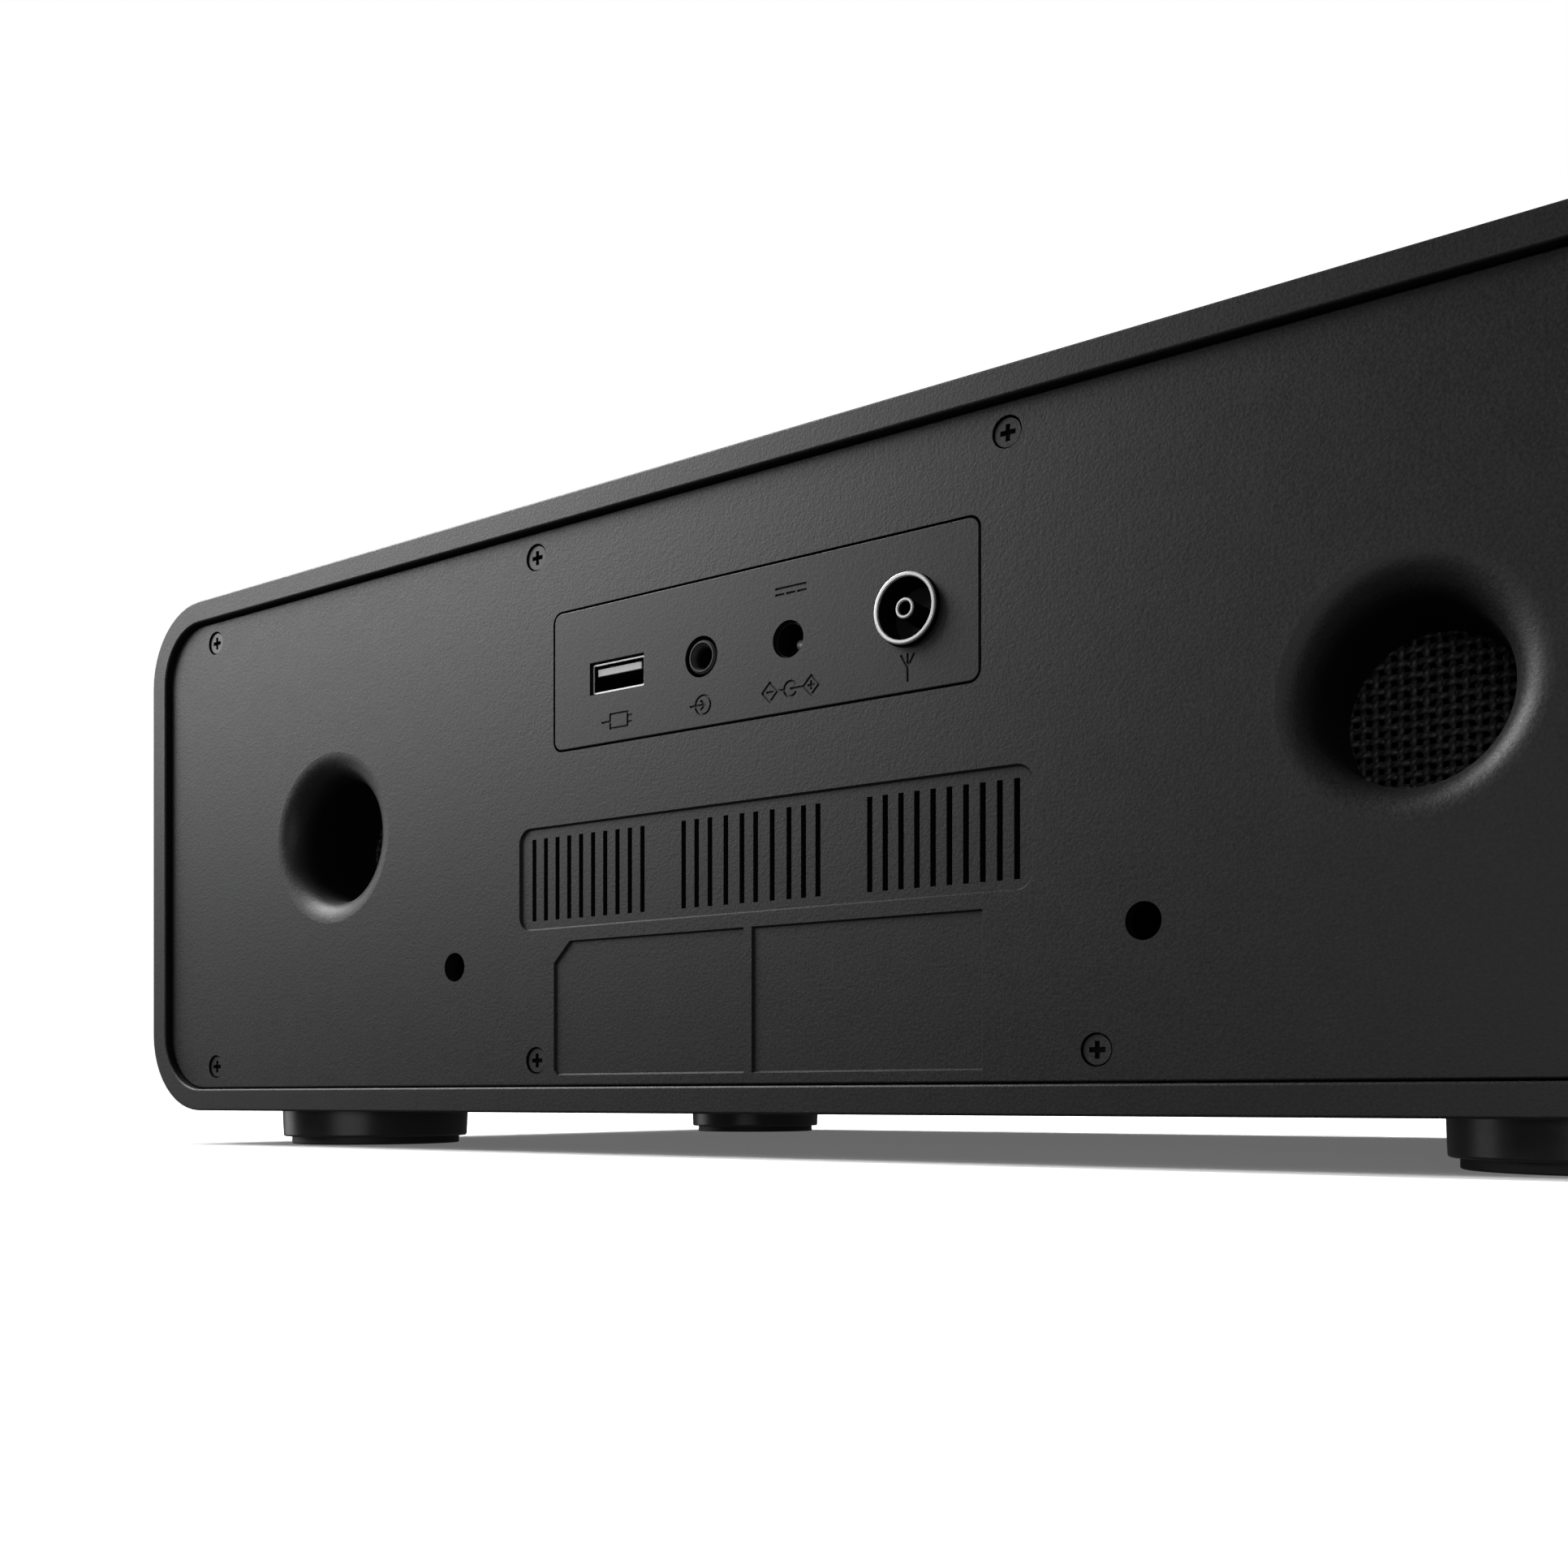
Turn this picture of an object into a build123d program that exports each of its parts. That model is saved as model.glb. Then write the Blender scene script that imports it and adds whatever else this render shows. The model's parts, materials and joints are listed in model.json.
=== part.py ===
from build123d import *
import os
from math import atan2, cos, sin, radians

os.makedirs("parts", exist_ok=True)

# ---------------------------------------------------------------- driving dimensions (mm)
# Frame: +Z up, Z = 0 is the surface under the feet, front of the set faces -Y, rear faces +Y.
# "left" is -X and "right" is +X, as seen by someone facing the front.
CAB_W, CAB_H, CAB_D = 361.5, 120.6, 210.0     # cabinet outside
CAB_WALL = 5.1
CAB_R = 18.3                                  # outer corner radius of the cabinet
FOOT_H = 7.93                                 # foot and pad together
KNOB_OUT = 10.0                               # knobs stand this far in front of the cabinet
Y_REAR = (CAB_D + KNOB_OUT) / 2               # rear edge plane of the cabinet
Y_FRONT = Y_REAR - CAB_D                      # front edge plane of the cabinet
Z0 = FOOT_H                                   # underside of the cabinet
ZC = Z0 + CAB_H / 2
IN_W, IN_H, IN_R = CAB_W - 2 * CAB_WALL, CAB_H - 2 * CAB_WALL, CAB_R - CAB_WALL
GAP = 0.3                                     # gap between the panels and the cabinet wall

PANEL_REC = 1.4                               # rear panel sits this far in
PANEL_T = 3.0
PY = Y_REAR - PANEL_REC                       # outer face of the rear panel
PYI = PY - PANEL_T                            # inner face of the rear panel

PORT_X, PORT_Z = 115.5, Z0 + 60.4
PORT_R, PORT_FLARE = 13.5, 5.4
COLLAR_R, COLLAR_Y = 19.5, Y_REAR - 23.3      # moulded collar behind the panel
MESH_T, MESH_PITCH, MESH_HOLE = 1.0, 1.92, 0.92
PORT_END_Y = 20.0

PLATE_W, PLATE_H, PLATE_R = 95.2, 26.8, 1.9   # connector plate
PLATE_Z = Z0 + 84.5
PLATE_GAP = 0.38
CON_Z = Z0 + 84.0
USB_X, USB_W, USB_H = 31.4, 13.2, 5.7
USB_Z = Z0 + 83.87
AUX_X, DC_X, ANT_X, ANT_Z = 10.6, -9.1, -34.0, Z0 + 84.8

SCREW_TOP = [-157.7, -52.7, 52.7, 157.7]
SCREW_BOT = [-157.7, -68.4, 52.8, 157.7]
SCREW_TOP_Z, SCREW_BOT_Z = Z0 + 110.3, Z0 + 10.4
HEAD_R, HEAD_REC_R = 2.35, 2.7

WALL_HOLE_X, WALL_HOLE_Z, WALL_HOLE_R = 76.2, Z0 + 30.0, 3.0
VENT_W, VENT_Z0, VENT_Z1 = 114.8, Z0 + 36.2, Z0 + 56.6
SLOT_W, SLOT_Z0, SLOT_Z1 = 1.1, Z0 + 38.1, Z0 + 54.4
VENT_X = ([53.7 - 3.156 * i for i in range(10)]
          + [15.2, 12.1, 8.95, 5.25, 1.55, -1.55, -5.25, -8.95, -12.1, -15.2]
          + [-26.0 - 3.144 * i for i in range(10)])
LABEL_Z0, LABEL_Z1 = Z0 + 7.4, Z0 + 33.7
LABEL_DEPTH = 0.45

FOOT_X, FOOT_INSET = 136.7, 29.8
FOOT_R, FOOT_BODY_H, PAD_R = 21.1, 6.15, 19.0

BAFFLE_Y, BAFFLE_T = -93.0, 5.0               # front face and thickness of the baffle
FASCIA_Y = Y_FRONT + 1.4                      # front face of the fascia and the grilles
FASCIA_W = 133.0
DRV_X, DRV_Z = 121.0, ZC
SLOT_CD_Z, SLOT_CD_W, SLOT_CD_H = Z0 + 100.0, 125.0, 2.8
DISP_Z, DISP_W, DISP_H = Z0 + 62.0, 66.0, 30.0
KNOB_X, KNOB_R = 51.5, 14.0
BTN_X = [-40.0, -20.0, 0.0, 20.0, 40.0]
BTN_Z, BTN_W, BTN_H = Z0 + 22.0, 14.0, 6.5
PHONES_X, IR_X = 58.0, -58.0
CHAMBER_X = 82.0                              # wall between speaker chamber and electronics
DISC_Y = -15.0                                # turntable axis
CH_Z = Z0 + 88.0                              # underside of the disc mechanism's chassis plate
MB_Z = Z0 + 14.0                              # underside of the main board
FB_Y = -85.0                                  # front face of the control board
BAF_SCREW_X = 160.0
ROLL_Y, ROLL_Z, PUL_X = -72.0, Z0 + 96.2, -76.6   # loading roller axis and its pulley
MOT_Y, MOT_Z = -50.0, Z0 + 80.0
BAF_SCREWS = [(x, z) for x in (-BAF_SCREW_X, BAF_SCREW_X) for z in (Z0 + 107.4, Z0 + 13.2)]
BOARD_SCREWS = [(x, y) for x in (-64.0, 64.0) for y in (-50.0, 70.0)]
FOOT_SPOTS = [(x, y) for x in (-FOOT_X, FOOT_X) for y in (Y_REAR - FOOT_INSET, Y_FRONT + FOOT_INSET)]
DRV_SCREW_PCR = 37.2


def xz(y):
    """Sketch plane facing the front (-Y) at the given Y; local x is X, local y is Z."""
    return Plane.XZ.offset(-y)


def about_y(cx, cz):
    """Half-section plane of a turned piece on a front-to-back axis: local x is radius, local y is Y."""
    return Plane(origin=(cx, 0, cz), x_dir=(1, 0, 0), z_dir=(0, 0, 1))


def dome_mid(rim_r, rim_y, apex_y):
    """Middle point of the arc from a dome's rim to its apex, for a sphere centred on the axis."""
    h = abs(rim_y - apex_y)
    ball = (rim_r ** 2 + h ** 2) / (2 * h)
    to_apex = 1 if apex_y > rim_y else -1
    centre = apex_y - to_apex * ball
    half = atan2(rim_r, abs(rim_y - centre)) / 2
    return (ball * sin(half), centre + to_apex * ball * cos(half))


# ---------------------------------------------------------------- cabinet shell
with BuildPart() as cabinet_shell:
    with BuildSketch(xz(Y_REAR)):
        with Locations((0, ZC)):
            RectangleRounded(CAB_W, CAB_H, CAB_R)
            RectangleRounded(IN_W, IN_H, IN_R, mode=Mode.SUBTRACT)
    extrude(amount=CAB_D)
    rims = cabinet_shell.faces().filter_by(Axis.Y)
    fillet(rims.edges(), radius=0.45)
    # screw bosses on the top and bottom walls, rear end and front end
    with BuildSketch(xz(PYI - 0.2)):
        with Locations(*[(x, Z0 + 110.6) for x in SCREW_TOP], *[(x, Z0 + 10.0) for x in SCREW_BOT]):
            Rectangle(11, 10.4)
    extrude(amount=24)
    with BuildSketch(xz(BAFFLE_Y + BAFFLE_T + 20.0)):
        with Locations(*[(x, z) for x in (-BAF_SCREW_X, BAF_SCREW_X) for z in (Z0 + 109.2, Z0 + 11.4)]):
            Rectangle(11, 13)
    extrude(amount=20)
    with BuildSketch(xz(PYI)):
        with Locations(*[(x, SCREW_TOP_Z) for x in SCREW_TOP], *[(x, SCREW_BOT_Z) for x in SCREW_BOT]):
            Circle(1.5)
    extrude(amount=16, mode=Mode.SUBTRACT)
    with BuildSketch(xz(BAFFLE_Y + BAFFLE_T + 14)):
        with Locations(*BAF_SCREWS):
            Circle(1.5)
    extrude(amount=14, mode=Mode.SUBTRACT)
    # standoffs for the main board and posts for the disc mechanism, standing on the bottom wall
    with BuildSketch(Plane.XY.offset(Z0 + CAB_WALL)):
        with Locations(*BOARD_SCREWS):
            Circle(3.5)
    extrude(amount=MB_Z - Z0 - CAB_WALL)
    with BuildSketch(Plane.XY.offset(MB_Z)):
        with Locations(*BOARD_SCREWS):
            Circle(1.5)
    extrude(amount=-8.5, mode=Mode.SUBTRACT)
    with BuildSketch(Plane.XY.offset(Z0 + CAB_WALL)):
        with Locations(*[(x, y) for x in (-76.0, 76.0) for y in (-30.0, 58.0)]):
            Rectangle(8, 8)
    extrude(amount=CH_Z + 14 - Z0 - CAB_WALL)
    # pilot holes for the foot screws
    with BuildSketch(Plane.XY.offset(Z0)):
        with Locations(*FOOT_SPOTS):
            Circle(1.5)
    extrude(amount=CAB_WALL + 1, mode=Mode.SUBTRACT)
cabinet_shell.part.label = "cabinet_shell"
export_step(cabinet_shell.part, "parts/cabinet_shell.step")

# ---------------------------------------------------------------- rear panel
with BuildPart() as rear_panel:
    with BuildSketch(xz(PY)):
        with Locations((0, ZC)):
            RectangleRounded(IN_W - 2 * GAP, IN_H - 2 * GAP, IN_R - GAP)
    extrude(amount=PANEL_T)
    fillet(rear_panel.faces().sort_by(Axis.Y)[-1].edges(), radius=0.35)
    with BuildSketch(xz(PYI)):
        with Locations((-PORT_X, PORT_Z), (PORT_X, PORT_Z)):
            Circle(COLLAR_R)
    extrude(amount=PYI - COLLAR_Y)
    # ports: straight bore opening into a rolled lip
    for cx in (-PORT_X, PORT_X):
        with BuildSketch(about_y(cx, PORT_Z)):
            with BuildLine():
                Polyline((0, COLLAR_Y - 1), (PORT_R, COLLAR_Y - 1), (PORT_R, PY - PORT_FLARE))
                JernArc((PORT_R, PY - PORT_FLARE), (0, 1), PORT_FLARE, -90)
                Polyline((PORT_R + PORT_FLARE, PY), (PORT_R + PORT_FLARE, PY + 1), (0, PY + 1), (0, COLLAR_Y - 1))
            make_face()
        revolve(axis=Axis((cx, 0, PORT_Z), (0, 1, 0)), mode=Mode.SUBTRACT)
    # opening for the connector plate
    with BuildSketch(xz(PY)):
        with Locations((0, PLATE_Z)):
            RectangleRounded(PLATE_W + 2 * PLATE_GAP, PLATE_H + 2 * PLATE_GAP, PLATE_R + PLATE_GAP)
    extrude(amount=PANEL_T, mode=Mode.SUBTRACT)
    # vent recess and its slots
    with BuildSketch(xz(PY)):
        with Locations((0, (VENT_Z0 + VENT_Z1) / 2)):
            RectangleRounded(VENT_W, VENT_Z1 - VENT_Z0, 3.0)
    extrude(amount=0.5, taper=36, mode=Mode.SUBTRACT)
    with BuildSketch(xz(PY)):
        with Locations(*[(x, (SLOT_Z0 + SLOT_Z1) / 2) for x in VENT_X]):
            Rectangle(SLOT_W, SLOT_Z1 - SLOT_Z0)
    extrude(amount=PANEL_T, mode=Mode.SUBTRACT)
    # two label recesses, one with a clipped corner
    with BuildSketch(xz(PY)):
        with BuildLine():
            Polyline((0.8, LABEL_Z0), (46.9, LABEL_Z0), (47.9, LABEL_Z0 + 1.0), (47.9, LABEL_Z1 - 4.2),
                     (43.6, LABEL_Z1), (0.8, LABEL_Z1), (0.8, LABEL_Z0))
        make_face()
        with Locations((-24.6, (LABEL_Z0 + LABEL_Z1) / 2)):
            Rectangle(47.2, LABEL_Z1 - LABEL_Z0)
    extrude(amount=LABEL_DEPTH, taper=36, mode=Mode.SUBTRACT)
    # two plain through holes
    with BuildSketch(xz(PY)):
        with Locations((-WALL_HOLE_X, WALL_HOLE_Z), (WALL_HOLE_X, WALL_HOLE_Z)):
            Circle(WALL_HOLE_R)
    extrude(amount=PANEL_T, mode=Mode.SUBTRACT)
    # counterbored screw holes
    with BuildSketch(xz(PY)):
        with Locations(*[(x, SCREW_TOP_Z) for x in SCREW_TOP], *[(x, SCREW_BOT_Z) for x in SCREW_BOT]):
            Circle(HEAD_REC_R)
    extrude(amount=1.9, mode=Mode.SUBTRACT)
    with BuildSketch(xz(PY)):
        with Locations(*[(x, SCREW_TOP_Z) for x in SCREW_TOP], *[(x, SCREW_BOT_Z) for x in SCREW_BOT]):
            Circle(1.7)
    extrude(amount=PANEL_T, mode=Mode.SUBTRACT)
rear_panel.part.label = "rear_panel"
export_step(rear_panel.part, "parts/rear_panel.step")

# rear panel screws: pan head with a cross recess
with BuildPart() as rear_panel_screws:
    spots = [(x, SCREW_TOP_Z) for x in SCREW_TOP] + [(x, SCREW_BOT_Z) for x in SCREW_BOT]
    with BuildSketch(xz(PY - 0.35)):
        with Locations(*spots):
            Circle(HEAD_R)
    extrude(amount=1.55)
    with BuildSketch(xz(PY - 1.9)):
        with Locations(*spots):
            Circle(1.45)
    extrude(amount=14.0)
    with BuildSketch(xz(PY - 0.35)):
        with Locations(*spots):
            Rectangle(2.8, 0.85)
            Rectangle(0.85, 2.8)
    extrude(amount=1.1, mode=Mode.SUBTRACT)
rear_panel_screws.part.label = "rear_panel_screws"
export_step(rear_panel_screws.part, "parts/rear_panel_screws.step")

# ---------------------------------------------------------------- connector plate
MARK_W, MARK_DEPTH = 0.42, 0.28                # pictogram line width and depth


def stroke(cx, cz, points, w=MARK_W):
    """A line of even width through points given from (cx, cz), u to the right as seen from behind."""
    for (u0, v0), (u1, v1) in zip(points, points[1:]):
        du, dv = u0 - u1, v1 - v0
        with Locations((cx - (u0 + u1) / 2, cz + (v0 + v1) / 2)):
            Rectangle((du * du + dv * dv) ** 0.5 + w, w, rotation=atan2(dv, du) * 57.29577951)


def frame_mark(cx, cz, width, height, w=MARK_W):
    stroke(cx, cz, [(-width / 2, -height / 2), (width / 2, -height / 2), (width / 2, height / 2), (-width / 2, height / 2), (-width / 2, -height / 2)], w)


def diamond_mark(cx, cz, r, w=MARK_W):
    stroke(cx, cz, [(-r, 0), (0, -r), (r, 0), (0, r), (-r, 0)], w)


def ring_mark(cx, cz, r, w=MARK_W):
    with Locations((cx, cz)):
        Circle(r + w / 2)
        Circle(r - w / 2, mode=Mode.SUBTRACT)


def open_ring_mark(cx, cz, r, w=MARK_W, gap=35.0):
    """A ring open towards +u, drawn as short chords."""
    n = 14
    points = []
    for i in range(n + 1):
        a = radians(gap + (360.0 - 2 * gap) * i / n)
        points.append((r * cos(a), r * sin(a)))
    stroke(cx, cz, points, w)


with BuildPart() as connector_plate:
    with BuildSketch(xz(PY)):
        with Locations((0, PLATE_Z)):
            RectangleRounded(PLATE_W, PLATE_H, PLATE_R)
    extrude(amount=PANEL_T)
    fillet(connector_plate.faces().sort_by(Axis.Y)[-1].edges(), radius=0.2)
    with BuildSketch(xz(PYI)):
        with Locations((0, PLATE_Z)):
            RectangleRounded(PLATE_W + 5, PLATE_H + 5, PLATE_R)
    extrude(amount=1.4)
    with BuildSketch(xz(PY)):
        with Locations((USB_X, USB_Z)):
            Rectangle(USB_W + 0.6, USB_H + 0.6)
        with Locations((AUX_X, CON_Z)):
            Circle(3.8)
        with Locations((DC_X, CON_Z)):
            Circle(3.35)
        with Locations((ANT_X, ANT_Z)):
            Circle(6.25)
    extrude(amount=PANEL_T + 1.4, mode=Mode.SUBTRACT)
    # pictograms sunk into the plate; u runs to the right as seen from behind
    with BuildSketch(xz(PY)) as marks:
        # plug outline with two blades, for the USB socket
        frame_mark(USB_X - 0.6, 83.0, 4.4, 2.7)
        stroke(USB_X, 83.0, [(-3.6, 0), (-1.6, 0)])
        stroke(USB_X, 83.0, [(2.8, 0.6), (3.7, 0.6)])
        stroke(USB_X, 83.0, [(2.8, -0.6), (3.7, -0.6)])
        # arrow into a ring, for the line input
        ring_mark(AUX_X - 0.4, 83.0, 1.75)
        stroke(AUX_X - 0.4, 83.0, [(-2.9, 0), (0.5, 0)])
        stroke(AUX_X - 0.4, 83.0, [(-0.4, 0.75), (0.55, 0), (-0.4, -0.75)])
        # polarity: minus, contact ring, plus
        diamond_mark(DC_X - 0.5 + 4.5, 83.1, 1.7)
        diamond_mark(DC_X - 0.5 - 4.5, 83.1, 1.7)
        stroke(DC_X - 0.5, 83.1, [(-5.1, 0), (-3.9, 0)])
        stroke(DC_X - 0.5, 83.1, [(3.9, 0), (5.1, 0)])
        stroke(DC_X - 0.5, 83.1, [(4.5, 0.6), (4.5, -0.6)])
        stroke(DC_X - 0.5, 83.1, [(-2.9, 0), (-1.3, 0)])
        stroke(DC_X - 0.5, 83.1, [(0.15, 0), (2.9, 0)])
        open_ring_mark(DC_X - 0.5, 83.1, 1.35)
        # mast with two arms, for the aerial
        stroke(ANT_X + 0.1, 83.1, [(0, -2.2), (0, 2.2)])
        stroke(ANT_X + 0.1, 83.1, [(-1.25, 2.1), (0, 0.0), (1.25, 2.1)])
        # direct current, over the inlet
        stroke(DC_X - 0.6, 100.6, [(-3.2, 0.55), (3.2, 0.55)])
        stroke(DC_X - 0.6, 100.6, [(-3.2, -0.55), (-1.6, -0.55)])
        stroke(DC_X - 0.6, 100.6, [(-0.8, -0.55), (0.8, -0.55)])
        stroke(DC_X - 0.6, 100.6, [(1.6, -0.55), (3.2, -0.55)])
    extrude(amount=MARK_DEPTH, mode=Mode.SUBTRACT)
connector_plate.part.label = "connector_plate"
export_step(connector_plate.part, "parts/connector_plate.step")

# USB socket: folded steel shell and the white contact tongue
with BuildPart() as usb_shell:
    with BuildSketch(xz(PY - 0.65)):
        with Locations((USB_X, USB_Z)):
            RectangleRounded(USB_W, USB_H, 0.5)
            RectangleRounded(USB_W - 0.6, USB_H - 0.6, 0.25, mode=Mode.SUBTRACT)
    extrude(amount=12.85)
    with BuildSketch(xz(PY - 13.5)):
        with Locations((USB_X, USB_Z)):
            RectangleRounded(USB_W, USB_H, 0.5)
    extrude(amount=0.4)
usb_shell.part.label = "usb_shell"
export_step(usb_shell.part, "parts/usb_shell.step")

with BuildPart() as usb_tongue:
    with BuildSketch(xz(PY - 0.85)):
        with Locations((USB_X, USB_Z + 1.2)):
            Rectangle(11.1, 1.4)
    extrude(amount=12.65)
    fillet(usb_tongue.faces().sort_by(Axis.Y)[-1].edges(), radius=0.12)
    with BuildSketch(xz(PY - 9.5)):
        with Locations((USB_X, USB_Z)):
            Rectangle(USB_W - 1.0, USB_H - 1.0)
    extrude(amount=4.0)
usb_tongue.part.label = "usb_tongue"
export_step(usb_tongue.part, "parts/usb_tongue.step")

# 3.5 mm auxiliary input
with BuildPart() as aux_jack:
    with BuildSketch(xz(PYI - 1.5)):
        with Locations((AUX_X, CON_Z)):
            Rectangle(12, 8)
    extrude(amount=13)
    with BuildSketch(about_y(AUX_X, CON_Z)):
        with BuildLine():
            Polyline((0, PY - 16), (3.1, PY - 16), (3.1, PY - 0.35), (2.75, PY), (2.6, PY), (1.8, PY - 1.6), (1.8, PY - 15), (0, PY - 15), (0, PY - 16))
        make_face()
    revolve(axis=Axis((AUX_X, 0, CON_Z), (0, 1, 0)))
    with BuildSketch(xz(PY - 1.6)):
        with Locations((AUX_X, CON_Z)):
            Circle(1.8)
    extrude(amount=13.4, mode=Mode.SUBTRACT)
aux_jack.part.label = "aux_jack"
export_step(aux_jack.part, "parts/aux_jack.step")

# DC inlet: moulded body with a blind barrel socket, and its centre pin
with BuildPart() as dc_jack:
    with BuildSketch(xz(PYI - 1.5)):
        with Locations((DC_X, CON_Z)):
            Rectangle(9, 10)
    extrude(amount=13)
    with BuildSketch(xz(PY - 1.0)):
        with Locations((DC_X, CON_Z)):
            Circle(3.3)
    extrude(amount=5.0)
    with BuildSketch(xz(PY - 1.0)):
        with Locations((DC_X, CON_Z)):
            Circle(2.95)
    extrude(amount=12.5, mode=Mode.SUBTRACT)
dc_jack.part.label = "dc_jack"
export_step(dc_jack.part, "parts/dc_jack.step")

with BuildPart() as dc_pin:
    with BuildSketch(about_y(DC_X, CON_Z)):
        with BuildLine():
            Polyline((0, PY - 13.4), (1.0, PY - 13.4), (1.0, PY - 4.1))
            ThreePointArc((1.0, PY - 4.1), dome_mid(1.0, PY - 4.1, PY - 3.3), (0, PY - 3.3))
            Line((0, PY - 3.3), (0, PY - 13.4))
        make_face()
    revolve(axis=Axis((DC_X, 0, CON_Z), (0, 1, 0)))
dc_pin.part.label = "dc_pin"
export_step(dc_pin.part, "parts/dc_pin.step")

# coaxial antenna socket: plated shell, insulator and centre contact
with BuildPart() as antenna_shell:
    with BuildSketch(about_y(ANT_X, ANT_Z)):
        with BuildLine():
            Polyline((5.25, PYI - 12), (6.05, PYI - 12), (6.05, Y_REAR - 0.25))
            ThreePointArc((6.05, Y_REAR - 0.25), (5.97, Y_REAR - 0.07), (5.8, Y_REAR))
            Polyline((5.8, Y_REAR), (5.42, Y_REAR), (5.28, Y_REAR - 0.18), (5.25, PYI - 12))
        make_face()
    revolve(axis=Axis((ANT_X, 0, ANT_Z), (0, 1, 0)))
antenna_shell.part.label = "antenna_shell"
export_step(antenna_shell.part, "parts/antenna_shell.step")

with BuildPart() as antenna_insulator:
    with BuildSketch(xz(PY - 4.4)):
        with Locations((ANT_X, ANT_Z)):
            Circle(5.1)
            Circle(1.85, mode=Mode.SUBTRACT)
    extrude(amount=10.6)
antenna_insulator.part.label = "antenna_insulator"
export_step(antenna_insulator.part, "parts/antenna_insulator.step")

with BuildPart() as antenna_contact:
    with BuildSketch(about_y(ANT_X, ANT_Z)):
        with BuildLine():
            Polyline((0, PYI - 12), (1.75, PYI - 12), (1.75, Y_REAR - 0.25), (1.6, Y_REAR - 0.1), (1.35, Y_REAR - 0.1), (1.2, Y_REAR - 0.3), (1.2, PY - 9), (0, PY - 9), (0, PYI - 12))
        make_face()
    revolve(axis=Axis((ANT_X, 0, ANT_Z), (0, 1, 0)))
antenna_contact.part.label = "antenna_contact"
export_step(antenna_contact.part, "parts/antenna_contact.step")

# ---------------------------------------------------------------- ports
cells = [(i * MESH_PITCH, j * MESH_PITCH) for i in range(-6, 7) for j in range(-6, 7)
         if (i * i + j * j) ** 0.5 * MESH_PITCH < PORT_R - 1.0]
with BuildPart() as port_meshes:
    for cx in (-PORT_X, PORT_X):
        with BuildSketch(xz(COLLAR_Y)):
            with Locations((cx, PORT_Z)):
                Circle(COLLAR_R)
            with Locations(*[(cx + a, PORT_Z + b) for a, b in cells]):
                Rectangle(MESH_HOLE, MESH_HOLE, mode=Mode.SUBTRACT)
        extrude(amount=MESH_T)
port_meshes.part.label = "port_meshes"
export_step(port_meshes.part, "parts/port_meshes.step")

with BuildPart() as port_tubes:
    y1 = COLLAR_Y - MESH_T
    for cx in (-PORT_X, PORT_X):
        with BuildSketch(about_y(cx, PORT_Z)):
            with BuildLine():
                Polyline((PORT_R, y1), (COLLAR_R, y1), (COLLAR_R, y1 - 2.5), (PORT_R + 2, y1 - 2.5), (PORT_R + 2, PORT_END_Y + 5),
                         (PORT_R + 6, PORT_END_Y), (PORT_R + 4, PORT_END_Y), (PORT_R, PORT_END_Y + 5), (PORT_R, y1))
            make_face()
        revolve(axis=Axis((cx, 0, PORT_Z), (0, 1, 0)))
port_tubes.part.label = "port_tubes"
export_step(port_tubes.part, "parts/port_tubes.step")

# ---------------------------------------------------------------- feet
with BuildPart() as foot_bodies:
    for fx, fy in FOOT_SPOTS:
        with BuildSketch(Plane(origin=(fx, fy, 0), x_dir=(1, 0, 0), z_dir=(0, -1, 0))):
            with BuildLine():
                Polyline((2.0, Z0), (FOOT_R, Z0), (FOOT_R - 0.25, Z0 - FOOT_BODY_H + 0.5))
                ThreePointArc((FOOT_R - 0.25, Z0 - FOOT_BODY_H + 0.5), (FOOT_R - 0.4, Z0 - FOOT_BODY_H + 0.15), (FOOT_R - 0.75, Z0 - FOOT_BODY_H))
                Polyline((FOOT_R - 0.75, Z0 - FOOT_BODY_H), (3.6, Z0 - FOOT_BODY_H), (3.6, Z0 - 2.5), (2.0, Z0 - 2.5), (2.0, Z0))
            make_face()
        revolve(axis=Axis((fx, fy, 0), (0, 0, 1)))
foot_bodies.part.label = "foot_bodies"
export_step(foot_bodies.part, "parts/foot_bodies.step")

with BuildPart() as foot_pads:
    for fx, fy in FOOT_SPOTS:
        with BuildSketch(Plane(origin=(fx, fy, 0), x_dir=(1, 0, 0), z_dir=(0, -1, 0))):
            with BuildLine():
                Polyline((0, Z0 - FOOT_BODY_H), (PAD_R, Z0 - FOOT_BODY_H), (PAD_R, 0.35))
                ThreePointArc((PAD_R, 0.35), (PAD_R - 0.1, 0.1), (PAD_R - 0.35, 0))
                Polyline((PAD_R - 0.35, 0), (0, 0), (0, Z0 - FOOT_BODY_H))
            make_face()
        revolve(axis=Axis((fx, fy, 0), (0, 0, 1)))
foot_pads.part.label = "foot_pads"
export_step(foot_pads.part, "parts/foot_pads.step")

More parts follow.
